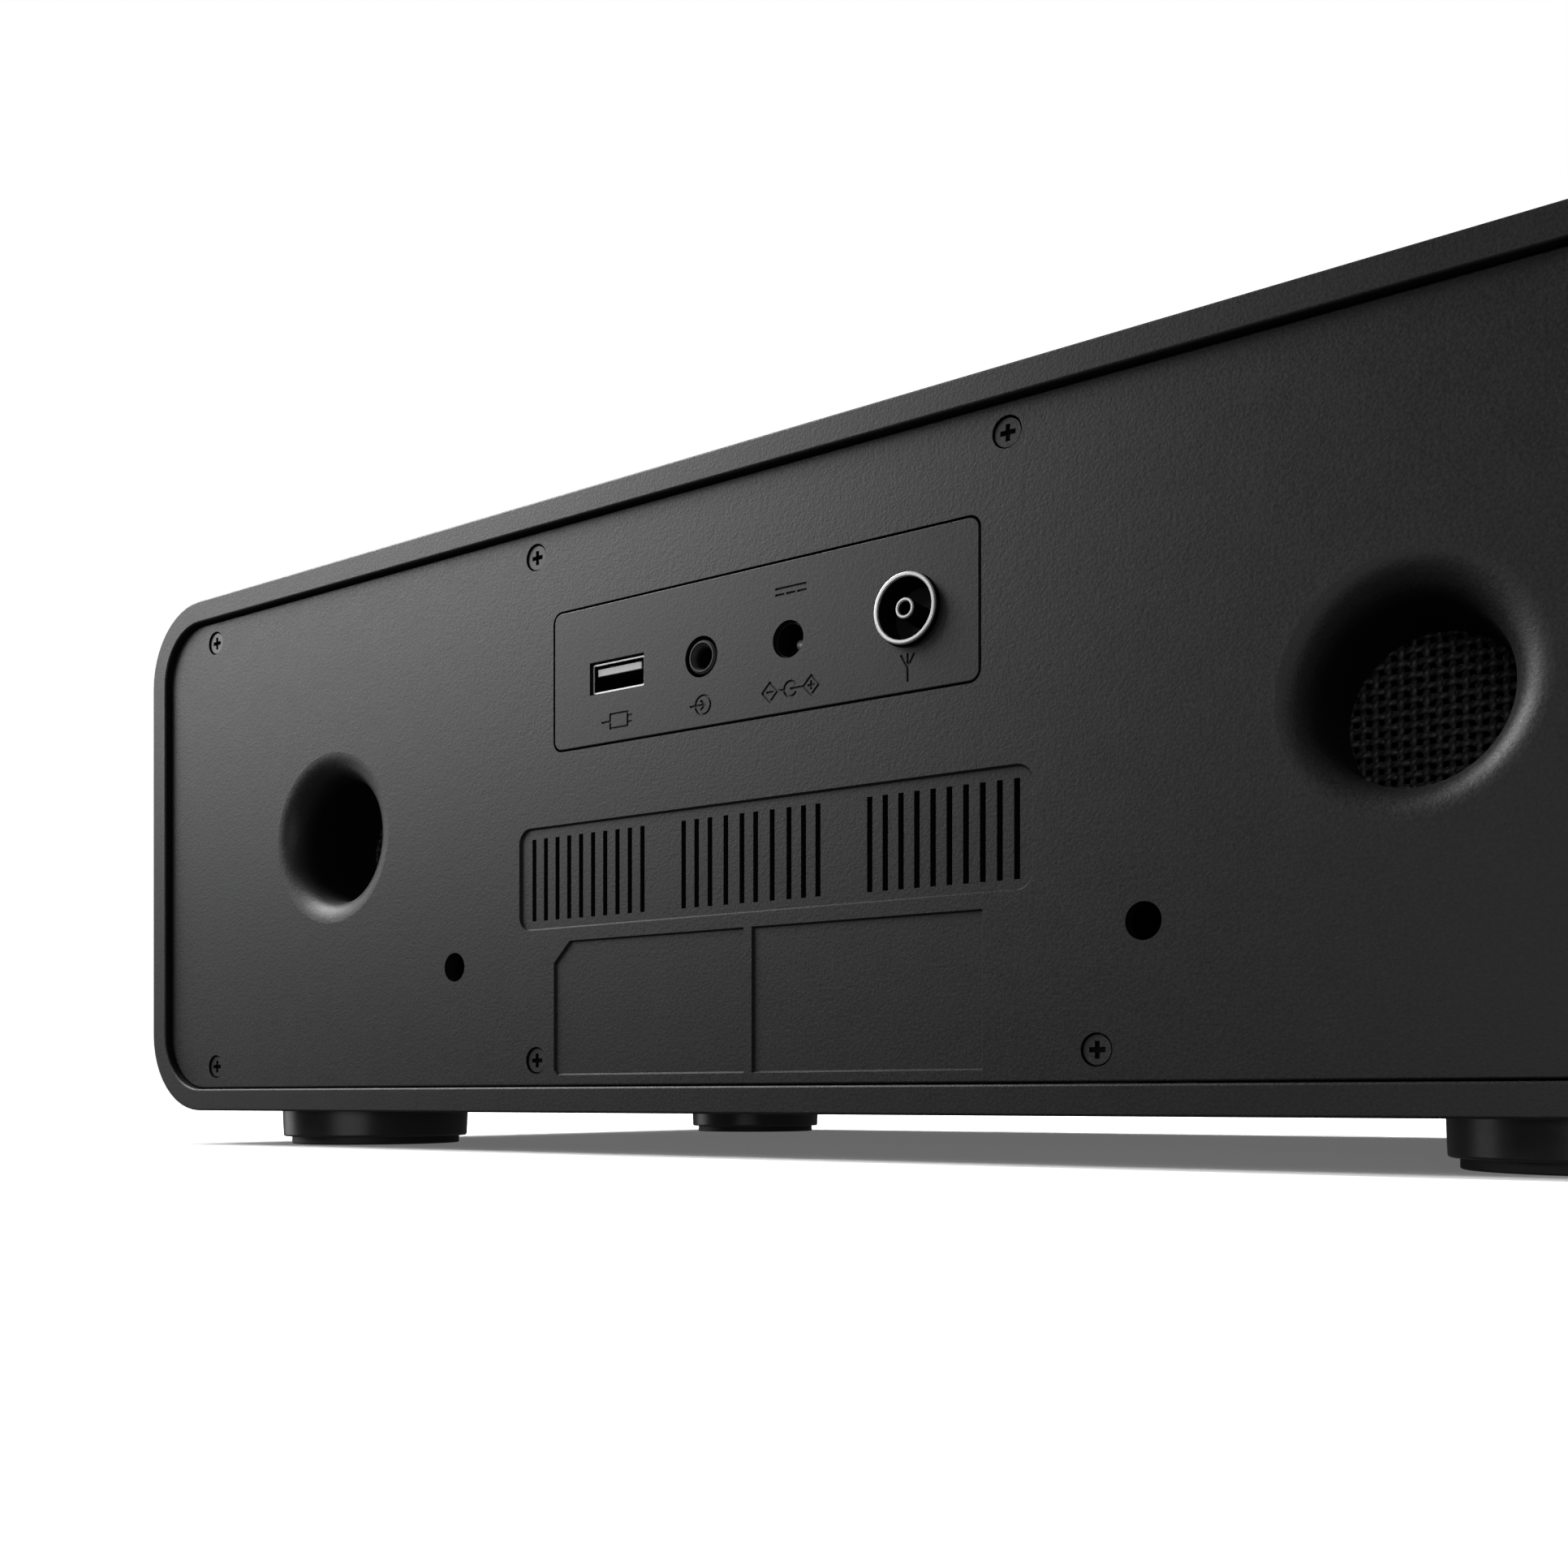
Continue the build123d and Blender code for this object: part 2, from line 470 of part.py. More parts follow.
# ---------------------------------------------------------------- front baffle
with BuildPart() as front_baffle:
    with BuildSketch(xz(BAFFLE_Y + BAFFLE_T)):
        with Locations((0, ZC)):
            RectangleRounded(IN_W - 2 * GAP, IN_H - 2 * GAP, IN_R - GAP)
        with Locations((-DRV_X, DRV_Z), (DRV_X, DRV_Z)):
            Circle(34.6, mode=Mode.SUBTRACT)
        with Locations((0, Z0 + 50)):
            Rectangle(124, 76, mode=Mode.SUBTRACT)
        with Locations((0, SLOT_CD_Z)):
            Rectangle(SLOT_CD_W + 1, SLOT_CD_H + 1, mode=Mode.SUBTRACT)
        with Locations(*BAF_SCREWS):
            Circle(1.7, mode=Mode.SUBTRACT)
        with Locations((-DRV_X, DRV_Z), (DRV_X, DRV_Z)):
            with PolarLocations(37.2, 4, start_angle=45):
                Circle(1.5, mode=Mode.SUBTRACT)
    extrude(amount=BAFFLE_T)
    with BuildSketch(xz(BAFFLE_Y + 2.0)):
        with Locations((-DRV_X, DRV_Z), (DRV_X, DRV_Z)):
            Circle(40.3)
    extrude(amount=2.0, mode=Mode.SUBTRACT)
front_baffle.part.label = "front_baffle"
export_step(front_baffle.part, "parts/front_baffle.step")

# ---------------------------------------------------------------- speaker grilles: ribbed plate on a rim
for side, s in (("left", -1), ("right", 1)):
    gx0, gx1 = FASCIA_W / 2 + 0.4, IN_W / 2 - GAP
    gxc, gw = s * (gx0 + gx1) / 2, gx1 - gx0
    with BuildPart() as grille:
        with BuildSketch(xz(BAFFLE_Y)):
            with Locations((0, ZC)):
                RectangleRounded(IN_W - 2 * GAP, IN_H - 2 * GAP, IN_R - GAP)
            with Locations((gxc, ZC)):
                Rectangle(gw, IN_H, mode=Mode.INTERSECT)
        extrude(amount=BAFFLE_Y - FASCIA_Y)
        fillet(grille.faces().sort_by(Axis.Y)[0].edges(), radius=0.6)
        with BuildSketch(xz(BAFFLE_Y)):
            with Locations((gxc, ZC)):
                RectangleRounded(gw - 9.0, IN_H - 9.6, 9.0)
        extrude(amount=BAFFLE_Y - FASCIA_Y - 1.6, mode=Mode.SUBTRACT)
        with BuildSketch(xz(BAFFLE_Y)):
            with Locations((gxc, ZC)):
                with GridLocations(3.2, 0, 29, 1):
                    SlotOverall(94.0, 1.7, rotation=90)
        extrude(amount=BAFFLE_Y - FASCIA_Y, mode=Mode.SUBTRACT)
    grille.part.label = "grille_" + side
    export_step(grille.part, "parts/grille_" + side + ".step")

# ---------------------------------------------------------------- fascia with slot, window, knob and button openings
with BuildPart() as fascia:
    with BuildSketch(xz(BAFFLE_Y)):
        with Locations((0, ZC)):
            Rectangle(FASCIA_W, IN_H - 2 * GAP)
    extrude(amount=BAFFLE_Y - FASCIA_Y)
    fillet(fascia.faces().sort_by(Axis.Y)[0].edges(), radius=0.6)
    with BuildSketch(xz(BAFFLE_Y)):
        with Locations((0, ZC)):
            Rectangle(FASCIA_W - 4, IN_H - 2 * GAP - 4)
    extrude(amount=BAFFLE_Y - FASCIA_Y - 3.0, mode=Mode.SUBTRACT)
    with BuildSketch(xz(BAFFLE_Y)):
        with Locations((0, SLOT_CD_Z)):
            SlotOverall(SLOT_CD_W, SLOT_CD_H)
        with Locations((0, DISP_Z)):
            RectangleRounded(DISP_W + 0.2, DISP_H + 0.2, 1.6)
        with Locations((-KNOB_X, DISP_Z), (KNOB_X, DISP_Z)):
            Circle(3.9)
        with Locations(*[(x, BTN_Z) for x in BTN_X]):
            RectangleRounded(BTN_W + 0.6, BTN_H + 0.6, 1.3)
        with Locations((PHONES_X, BTN_Z)):
            Circle(3.6)
        with Locations((IR_X, BTN_Z)):
            Circle(2.6)
    extrude(amount=BAFFLE_Y - FASCIA_Y, mode=Mode.SUBTRACT)
fascia.part.label = "fascia"
export_step(fascia.part, "parts/fascia.step")

with BuildPart() as display_window:
    with BuildSketch(xz(FASCIA_Y + 2.4)):
        with Locations((0, DISP_Z)):
            RectangleRounded(DISP_W, DISP_H, 1.5)
    extrude(amount=2.4)
    fillet(display_window.faces().sort_by(Axis.Y)[0].edges(), radius=0.25)
display_window.part.label = "display_window"
export_step(display_window.part, "parts/display_window.step")

with BuildPart() as display_module:
    with BuildSketch(xz(-86.8)):
        with Locations((0, DISP_Z)):
            RectangleRounded(DISP_W + 5, DISP_H + 7, 1.0)
    extrude(amount=-FASCIA_Y - 86.8 - 3.4)
display_module.part.label = "display_module"
export_step(display_module.part, "parts/display_module.step")

with BuildPart() as ir_window:
    with BuildSketch(xz(FASCIA_Y + 5)):
        with Locations((IR_X, BTN_Z)):
            Circle(2.5)
    extrude(amount=5)
    fillet(ir_window.faces().sort_by(Axis.Y)[0].edges(), radius=0.4)
ir_window.part.label = "ir_window"
export_step(ir_window.part, "parts/ir_window.step")

with BuildPart() as headphone_jack:
    with BuildSketch(about_y(PHONES_X, BTN_Z)):
        with BuildLine():
            Polyline((1.8, -85.0), (3.4, -85.0), (3.4, FASCIA_Y + 0.3), (3.1, FASCIA_Y), (2.4, FASCIA_Y), (1.8, FASCIA_Y + 0.8), (1.8, -85.0))
        make_face()
    revolve(axis=Axis((PHONES_X, 0, BTN_Z), (0, 1, 0)))
    with BuildSketch(xz(-80.0)):
        with Locations((PHONES_X, BTN_Z)):
            Rectangle(7, 8)
    extrude(amount=14)
    with BuildSketch(xz(-81.0)):
        with Locations((PHONES_X, BTN_Z)):
            Circle(1.8)
    extrude(amount=14, mode=Mode.SUBTRACT)
headphone_jack.part.label = "headphone_jack"
export_step(headphone_jack.part, "parts/headphone_jack.step")

# front control board
with BuildPart() as front_board:
    with BuildSketch(xz(FB_Y + 1.6)):
        with Locations((0, Z0 + 50)):
            Rectangle(122, 72)
        with Locations((PHONES_X, BTN_Z)):
            Rectangle(8, 9, mode=Mode.SUBTRACT)
    extrude(amount=1.6)
    # soldered push switches behind the buttons
    with BuildSketch(xz(FB_Y)):
        with Locations(*[(x, BTN_Z) for x in BTN_X]):
            Rectangle(6, 6)
    extrude(amount=3.2)
    with BuildSketch(xz(FB_Y - 3.2)):
        with Locations(*[(x, BTN_Z) for x in BTN_X]):
            Circle(1.7)
    extrude(amount=0.8)
front_board.part.label = "front_board"
export_step(front_board.part, "parts/front_board.step")

# ---------------------------------------------------------------- rotary encoders, shafts and knobs
with BuildPart() as encoders:
    with BuildSketch(xz(FB_Y)):
        with Locations((-KNOB_X, DISP_Z), (KNOB_X, DISP_Z)):
            Rectangle(12, 12)
    extrude(amount=6.5)
    with BuildSketch(xz(FB_Y - 6.5)):
        with Locations((-KNOB_X, DISP_Z), (KNOB_X, DISP_Z)):
            Circle(3.5)
    extrude(amount=5.5)
    with BuildSketch(xz(FB_Y - 1.5)):
        with Locations((-KNOB_X, DISP_Z), (KNOB_X, DISP_Z)):
            Circle(3.05)
    extrude(amount=12, mode=Mode.SUBTRACT)
encoders.part.label = "encoders"
export_step(encoders.part, "parts/encoders.step")

for name, sx in (("volume", -1), ("select", 1)):
    kx = sx * KNOB_X
    with BuildPart() as shaft:
        with BuildSketch(xz(FB_Y - 2.0)):
            with Locations((kx, DISP_Z)):
                Circle(3.0)
        extrude(amount=11)
        with BuildSketch(xz(FB_Y - 13.0)):
            with Locations((kx, DISP_Z)):
                Circle(3.0)
            with Locations((kx, DISP_Z + 3.0)):
                Rectangle(8, 3.0, mode=Mode.SUBTRACT)
        extrude(amount=9.0)
    shaft.part.label = name + "_shaft"
    export_step(shaft.part, "parts/" + name + "_shaft.step")

    with BuildPart() as knob:
        with BuildSketch(xz(Y_FRONT + 0.4)):
            with Locations((kx, DISP_Z)):
                Circle(KNOB_R)
                with PolarLocations(KNOB_R + 0.12, 72):
                    Circle(0.36, mode=Mode.SUBTRACT)
        extrude(amount=KNOB_OUT - 1.2)
        with BuildSketch(xz(Y_FRONT - KNOB_OUT + 1.6)):
            with Locations((kx, DISP_Z)):
                Circle(KNOB_R - 0.35)
        extrude(amount=1.6)
        fillet(knob.faces().sort_by(Axis.Y)[0].edges(), radius=0.7)
        with BuildSketch(xz(Y_FRONT + 0.4)):
            with Locations((kx, DISP_Z)):
                Circle(KNOB_R - 2.0)
                Circle(5.0, mode=Mode.SUBTRACT)
        extrude(amount=KNOB_OUT - 2.6, mode=Mode.SUBTRACT)
        with BuildSketch(xz(Y_FRONT + 0.4)):
            with Locations((kx, DISP_Z)):
                Circle(3.05)
        extrude(amount=8.6, mode=Mode.SUBTRACT)
        with BuildSketch(xz(Y_FRONT - KNOB_OUT)):
            with Locations((kx, DISP_Z + 10.2)):
                Circle(1.1)
        extrude(amount=-0.5, mode=Mode.SUBTRACT)
    knob.part.label = name + "_knob"
    export_step(knob.part, "parts/" + name + "_knob.step")

# ---------------------------------------------------------------- push buttons and their switches
for i, bx in enumerate(BTN_X):
    with BuildPart() as button:
        with BuildSketch(xz(FASCIA_Y + 3.4)):
            with Locations((bx, BTN_Z)):
                RectangleRounded(BTN_W, BTN_H, 1.0)
        extrude(amount=5.0)
        fillet(button.faces().sort_by(Axis.Y)[0].edges(), radius=0.5)
        with BuildSketch(xz(FASCIA_Y + 4.2)):
            with Locations((bx, BTN_Z)):
                Rectangle(BTN_W + 2, BTN_H + 2)
        extrude(amount=0.8)
        with BuildSketch(xz(-89.8)):
            with Locations((bx, BTN_Z)):
                Circle(1.5)
        extrude(amount=5.0)
    button.part.label = "button_%d" % (i + 1)
    export_step(button.part, "parts/button_%d.step" % (i + 1))

# ---------------------------------------------------------------- loudspeaker drivers
with BuildPart() as driver_frames:
    for cx in (-DRV_X, DRV_X):
        with BuildSketch(about_y(cx, DRV_Z)):
            with BuildLine():
                Polyline((31, -93), (40, -93), (40, -91), (34, -91), (18.5, -70), (25, -70), (25, -68), (12, -68), (12, -70),
                         (17, -70), (22.0, -77.5), (20.5, -77.5), (20.5, -78.5), (22.667, -78.5), (31, -91), (31, -93))
            make_face()
        revolve(axis=Axis((cx, 0, DRV_Z), (0, 1, 0)))
    with BuildSketch(xz(-80.0)):
        with Locations((-DRV_X, DRV_Z), (DRV_X, DRV_Z)):
            with PolarLocations(28, 4):
                Rectangle(16, 24)
    extrude(amount=9.0, mode=Mode.SUBTRACT)
    with BuildSketch(xz(-91.0)):
        with Locations((-DRV_X, DRV_Z), (DRV_X, DRV_Z)):
            with PolarLocations(DRV_SCREW_PCR, 4, start_angle=45):
                Circle(1.7)
    extrude(amount=2.0, mode=Mode.SUBTRACT)
driver_frames.part.label = "driver_frames"
export_step(driver_frames.part, "parts/driver_frames.step")

with BuildPart() as driver_magnets:
    for cx in (-DRV_X, DRV_X):
        with BuildSketch(about_y(cx, DRV_Z)):
            with BuildLine():
                Polyline((0, -70.5), (9.6, -70.5), (9.6, -58), (11.2, -58), (11.2, -68), (24, -68), (24, -53), (0, -53), (0, -70.5))
            make_face()
        revolve(axis=Axis((cx, 0, DRV_Z), (0, 1, 0)))
driver_magnets.part.label = "driver_magnets"
export_step(driver_magnets.part, "parts/driver_magnets.step")

# cone, voice coil former and dust cap move as one piece
CAP_OUT, CAP_IN = (10.9, -85.9, -90.0), (10.2, -85.3, -89.4)    # rim radius, rim Y, apex Y
for side, cx in (("left", -DRV_X), ("right", DRV_X)):
    with BuildPart() as driver_cone:
        with BuildSketch(about_y(cx, DRV_Z)):
            with BuildLine():
                Polyline((CAP_IN[0], -62), (10.5, -62), (10.5, -84.6), (29.0, -92.8), (29.0, -93.6), CAP_OUT[:2])
                ThreePointArc(CAP_OUT[:2], dome_mid(*CAP_OUT), (0, CAP_OUT[2]))
                Line((0, CAP_OUT[2]), (0, CAP_IN[2]))
                ThreePointArc((0, CAP_IN[2]), dome_mid(*CAP_IN), CAP_IN[:2])
                Line(CAP_IN[:2], (CAP_IN[0], -62))
            make_face()
        revolve(axis=Axis((cx, 0, DRV_Z), (0, 1, 0)))
    driver_cone.part.label = "driver_cone_" + side
    export_step(driver_cone.part, "parts/driver_cone_" + side + ".step")

# rubber surrounds at the front, cloth spiders behind
with BuildPart() as driver_suspensions:
    for cx in (-DRV_X, DRV_X):
        with BuildSketch(about_y(cx, DRV_Z)):
            with BuildLine():
                Line((29.4, -93.0), (29.4, -93.5))
                ThreePointArc((29.4, -93.5), (31.1, -95.2), (32.8, -93.5))
                Polyline((32.8, -93.5), (34.0, -93.5), (34.0, -93.0), (32.3, -93.0))
                ThreePointArc((32.3, -93.0), (31.1, -94.6), (29.9, -93.0))
                Line((29.9, -93.0), (29.4, -93.0))
            make_face()
        revolve(axis=Axis((cx, 0, DRV_Z), (0, 1, 0)))
    with BuildSketch(xz(-78.5)):
        with Locations((-DRV_X, DRV_Z), (DRV_X, DRV_Z)):
            Circle(22.4)
            Circle(11.0, mode=Mode.SUBTRACT)
    extrude(amount=0.6)
driver_suspensions.part.label = "driver_suspensions"
export_step(driver_suspensions.part, "parts/driver_suspensions.step")

# identical pan-head screws: speakers, baffle, main board and feet
with BuildPart() as case_screws:
    front_spots = [(cx + DRV_SCREW_PCR * cos(radians(a)), DRV_Z + DRV_SCREW_PCR * sin(radians(a)))
                   for cx in (-DRV_X, DRV_X) for a in (45, 135, 225, 315)] + BAF_SCREWS
    with BuildSketch(xz(BAFFLE_Y)):
        with Locations(*front_spots):
            Circle(2.5)
    extrude(amount=1.7)
    with BuildSketch(xz(BAFFLE_Y)):
        with Locations(*front_spots):
            Circle(1.4)
    extrude(amount=-10.0)
    with BuildSketch(xz(BAFFLE_Y - 1.7)):
        with Locations(*front_spots):
            Rectangle(2.8, 0.75)
            Rectangle(0.75, 2.8)
    extrude(amount=-1.0, mode=Mode.SUBTRACT)
    for z, spots, up in ((MB_Z + 1.6, BOARD_SCREWS, 1), (Z0 - 2.5, FOOT_SPOTS, -1)):
        with BuildSketch(Plane.XY.offset(z)):
            with Locations(*spots):
                Circle(2.5)
        extrude(amount=1.7 * up)
        with BuildSketch(Plane.XY.offset(z)):
            with Locations(*spots):
                Circle(1.4)
        extrude(amount=-10.0 * up if up < 0 else -9.5)
        with BuildSketch(Plane.XY.offset(z + 1.7 * up)):
            with Locations(*spots):
                Rectangle(2.8, 0.75)
                Rectangle(0.75, 2.8)
        extrude(amount=-1.0 * up, mode=Mode.SUBTRACT)
case_screws.part.label = "case_screws"
export_step(case_screws.part, "parts/case_screws.step")

# ---------------------------------------------------------------- walls between the speaker chambers and the electronics
with BuildPart() as chamber_walls:
    y0, y1 = BAFFLE_Y + BAFFLE_T, PYI
    with BuildSketch(Plane.XY.offset(Z0 + CAB_WALL)):
        with Locations((-CHAMBER_X, (y0 + y1) / 2), (CHAMBER_X, (y0 + y1) / 2)):
            Rectangle(3.0, y1 - y0)
    extrude(amount=IN_H)
    with BuildSketch(Plane.YZ.offset(-CHAMBER_X - 1.5)):
        with Locations((20, Z0 + 24)):
            Circle(2.2)
    extrude(amount=2 * CHAMBER_X + 3.0, mode=Mode.SUBTRACT)
chamber_walls.part.label = "chamber_walls"
export_step(chamber_walls.part, "parts/chamber_walls.step")

# ---------------------------------------------------------------- main board, heat sink and modules
with BuildPart() as circuit_boards:
    with BuildSketch(Plane.XY.offset(MB_Z)):
        with Locations((0, 10)):
            Rectangle(140, 130)
        with Locations(*BOARD_SCREWS):
            Circle(1.7, mode=Mode.SUBTRACT)
    extrude(amount=1.6)
    # smaller board under the rear connectors
    with BuildSketch(Plane.XY.offset(Z0 + 76.6)):
        with Locations((0, PYI - 1.6 - 16)):
            Rectangle(96, 31)
    extrude(amount=1.6)
circuit_boards.part.label = "circuit_boards"
export_step(circuit_boards.part, "parts/circuit_boards.step")

with BuildPart() as heatsink:
    with BuildSketch(Plane.XY.offset(MB_Z + 1.6)):
        with Locations((0, 48)):
            Rectangle(60, 3)
        with Locations((0, 55.5)):
            with GridLocations(6.3, 0, 10, 1):
                Rectangle(1.4, 12)
    extrude(amount=34)
heatsink.part.label = "heatsink"
export_step(heatsink.part, "parts/heatsink.step")

with BuildPart() as power_capacitors:
    with BuildSketch(Plane.XY.offset(MB_Z + 1.6)):
        with Locations((-50, 25), (-50, 5), (50, 25), (50, 5)):
            Circle(8)
    extrude(amount=26)
    fillet(power_capacitors.faces().group_by(Axis.Z)[-1].edges(), radius=1.0)
power_capacitors.part.label = "power_capacitors"
export_step(power_capacitors.part, "parts/power_capacitors.step")

with BuildPart() as radio_module:
    with BuildSketch(Plane.XY.offset(MB_Z + 1.6)):
        with Locations((0, -25)):
            Rectangle(38, 30)
    extrude(amount=4.5)
radio_module.part.label = "radio_module"
export_step(radio_module.part, "parts/radio_module.step")

# flat ribbon from the control board down to the main board
with BuildPart() as ribbon_cable:
    with BuildSketch(Plane.YZ.offset(-14)):
        with BuildLine():
            FilletPolyline((FB_Y + 1.6 + 0.6, Z0 + 34), (-72, Z0 + 34), (-72, MB_Z + 12), (-46, MB_Z + 12), (-46, MB_Z + 1.6), radius=4)
        trace(line_width=0.8)
    extrude(amount=28)
ribbon_cable.part.label = "ribbon_cable"
export_step(ribbon_cable.part, "parts/ribbon_cable.step")

# speaker leads, through the chamber walls to the main board
with BuildPart() as speaker_wires:
    for s in (-1, 1):
        with BuildLine() as run:
            FilletPolyline((s * DRV_X, -52.8, DRV_Z - 8), (s * DRV_X, -38, DRV_Z - 8), (s * DRV_X, -18, DRV_Z - 30), (s * (CHAMBER_X + 16), 20, Z0 + 24),
                           (s * 62, 20, Z0 + 24), (s * 62, 20, MB_Z + 1.7), radius=[6, 8, 12, 3.5])
        with BuildSketch(Plane(origin=run.line @ 0, z_dir=run.line % 0)):
            Circle(1.2)
        sweep(path=run.line)
speaker_wires.part.label = "speaker_wires"
export_step(speaker_wires.part, "parts/speaker_wires.step")

# ---------------------------------------------------------------- slot-loading disc mechanism
with BuildPart() as disc_chassis:
    with BuildSketch(Plane.XY.offset(CH_Z)):
        with Locations((0, -11)):
            Rectangle(144, 146)
        with Locations((4, 24)):
            Rectangle(36, 62, mode=Mode.SUBTRACT)
        with Locations((0, DISC_Y)):
            Circle(6.4, mode=Mode.SUBTRACT)
        with Locations((0, -72)):
            Rectangle(132, 9, mode=Mode.SUBTRACT)
    extrude(amount=1.2)
    for x in (-72.0, 70.8):
        with BuildSketch(Plane.YZ.offset(x)):
            with Locations((-11, CH_Z + 11)):
                Rectangle(146, 22)
            with Locations((-52, CH_Z - 8)):
                Rectangle(24, 17)
            with Locations((-72, Z0 + 96.2), (50, Z0 + 107)):
                Circle(1.55, mode=Mode.SUBTRACT)
            with Locations((-50, Z0 + 80)):
                Circle(1.4, mode=Mode.SUBTRACT)
        extrude(amount=1.2)
    # feet that hang the sled rails and the lead screw under the plate
    with BuildSketch(Plane.XY.offset(CH_Z - 8)):
        with Locations(*[(x, y) for x in (-22.0, 34.0) for y in (-4.0, 58.5)]):
            Rectangle(7, 4)
    extrude(amount=8)
    with BuildSketch(xz(62)):
        with Locations((-22.0, CH_Z - 4.5), (34.0, CH_Z - 4.5)):
            Circle(1.55)
    extrude(amount=70, mode=Mode.SUBTRACT)
disc_chassis.part.label = "disc_chassis"
export_step(disc_chassis.part, "parts/disc_chassis.step")

with BuildPart() as spindle_motor:
    with BuildSketch(Plane.XY.offset(CH_Z - 7)):
        with Locations((0, DISC_Y)):
            Circle(12.5)
    extrude(amount=7)
    with BuildSketch(Plane.XY.offset(CH_Z - 6)):
        with Locations((0, DISC_Y)):
            Circle(1.05)
    extrude(amount=6, mode=Mode.SUBTRACT)
spindle_motor.part.label = "spindle_motor"
export_step(spindle_motor.part, "parts/spindle_motor.step")

with BuildPart() as turntable:
    with BuildSketch(Plane(origin=(0, DISC_Y, 0), x_dir=(1, 0, 0), z_dir=(0, -1, 0))):
        with BuildLine():
            Polyline((0, CH_Z - 5.5), (1.0, CH_Z - 5.5), (1.0, CH_Z + 3.0), (5.0, CH_Z + 3.0), (5.0, CH_Z + 8.0), (14.0, CH_Z + 9.5), (14.0, CH_Z + 11.3),
                     (7.4, CH_Z + 11.3), (7.2, CH_Z + 12.4), (5.0, CH_Z + 13.0), (0, CH_Z + 13.0), (0, CH_Z - 5.5))
        make_face()
    revolve(axis=Axis((0, DISC_Y, 0), (0, 0, 1)))
turntable.part.label = "turntable"
export_step(turntable.part, "parts/turntable.step")

with BuildPart() as sled_rail:
    with BuildSketch(xz(60.5)):
        with Locations((-22.0, CH_Z - 4.5)):
            Circle(1.5)
    extrude(amount=66.5)
sled_rail.part.label = "sled_rail"
export_step(sled_rail.part, "parts/sled_rail.step")

with BuildPart() as lead_screw:
    with BuildSketch(xz(63.5)):
        with Locations((34.0, CH_Z - 4.5)):
            Circle(1.5)
    extrude(amount=69.5)
lead_screw.part.label = "lead_screw"
export_step(lead_screw.part, "parts/lead_screw.step")

# motor of the lead screw and motor of the loading roller
with BuildPart() as gear_motors:
    with BuildSketch(xz(76.0)):
        with Locations((34.0, CH_Z - 4.5)):
            Circle(5.0)
    extrude(amount=12.0)
    with BuildSketch(xz(66.0)):
        with Locations((34.0, CH_Z - 4.5)):
            Circle(1.55)
    extrude(amount=2.0, mode=Mode.SUBTRACT)
    with BuildSketch(Plane.YZ.offset(-70.6)):
        with Locations((MOT_Y, MOT_Z)):
            Circle(6.5)
            Circle(1.3, mode=Mode.SUBTRACT)
    extrude(amount=20)
gear_motors.part.label = "gear_motors"
export_step(gear_motors.part, "parts/gear_motors.step")

with BuildPart() as laser_sled:
    with BuildSketch(Plane.XY.offset(CH_Z - 8)):
        with Locations((4.75, 11)):
            Rectangle(62.5, 20)
    extrude(amount=7.2)
    with BuildSketch(Plane.XY.offset(CH_Z - 0.8)):
        with Locations((4, 11)):
            Rectangle(22, 16)
    extrude(amount=4.5)
    with BuildSketch(Plane.XY.offset(CH_Z + 3.7)):
        with Locations((4, 11)):
            Circle(3.0)
    extrude(amount=1.8)
    with BuildSketch(xz(22)):
        with Locations((-22.0, CH_Z - 4.5), (34.0, CH_Z - 4.5)):
            Circle(1.55)
    extrude(amount=22, mode=Mode.SUBTRACT)
laser_sled.part.label = "laser_sled"
export_step(laser_sled.part, "parts/laser_sled.step")

# rubber loading roller on its shaft, with a pulley outside the left side wall
with BuildPart() as roller_shaft:
    with BuildSketch(Plane.YZ.offset(PUL_X)):
        with Locations((ROLL_Y, ROLL_Z)):
            Circle(1.5)
    extrude(amount=149.5)
    with BuildSketch(Plane.YZ.offset(PUL_X)):
        with Locations((ROLL_Y, ROLL_Z)):
            Circle(6.0)
    extrude(amount=3.0)
roller_shaft.part.label = "roller_shaft"
export_step(roller_shaft.part, "parts/roller_shaft.step")

with BuildPart() as loading_roller:
    with BuildSketch(Plane.YZ.offset(-63)):
        with Locations((ROLL_Y, ROLL_Z)):
            Circle(3.2)
            Circle(1.5, mode=Mode.SUBTRACT)
    extrude(amount=126)
loading_roller.part.label = "loading_roller"
export_step(loading_roller.part, "parts/loading_roller.step")

with BuildPart() as motor_pulley:
    with BuildSketch(Plane.YZ.offset(PUL_X)):
        with Locations((MOT_Y, MOT_Z)):
            Circle(1.0)
    extrude(amount=20)
    with BuildSketch(Plane.YZ.offset(PUL_X)):
        with Locations((MOT_Y, MOT_Z)):
            Circle(2.4)
    extrude(amount=3.0)
motor_pulley.part.label = "motor_pulley"
export_step(motor_pulley.part, "parts/motor_pulley.step")

with BuildPart() as drive_belt:
    with BuildSketch(Plane.YZ.offset(PUL_X + 0.9)) as belt:
        with BuildSketch(Plane.YZ.offset(PUL_X + 0.9), mode=Mode.PRIVATE) as outer_loop:
            with Locations((ROLL_Y, ROLL_Z)):
                Circle(7.5)
            with Locations((MOT_Y, MOT_Z)):
                Circle(3.9)
            make_hull(outer_loop.edges())
        with BuildSketch(Plane.YZ.offset(PUL_X + 0.9), mode=Mode.PRIVATE) as inner_loop:
            with Locations((ROLL_Y, ROLL_Z)):
                Circle(6.3)
            with Locations((MOT_Y, MOT_Z)):
                Circle(2.7)
            make_hull(inner_loop.edges())
        add(outer_loop.sketch_local)
        add(inner_loop.sketch_local, mode=Mode.SUBTRACT)
    extrude(amount=1.2)
drive_belt.part.label = "drive_belt"
export_step(drive_belt.part, "parts/drive_belt.step")

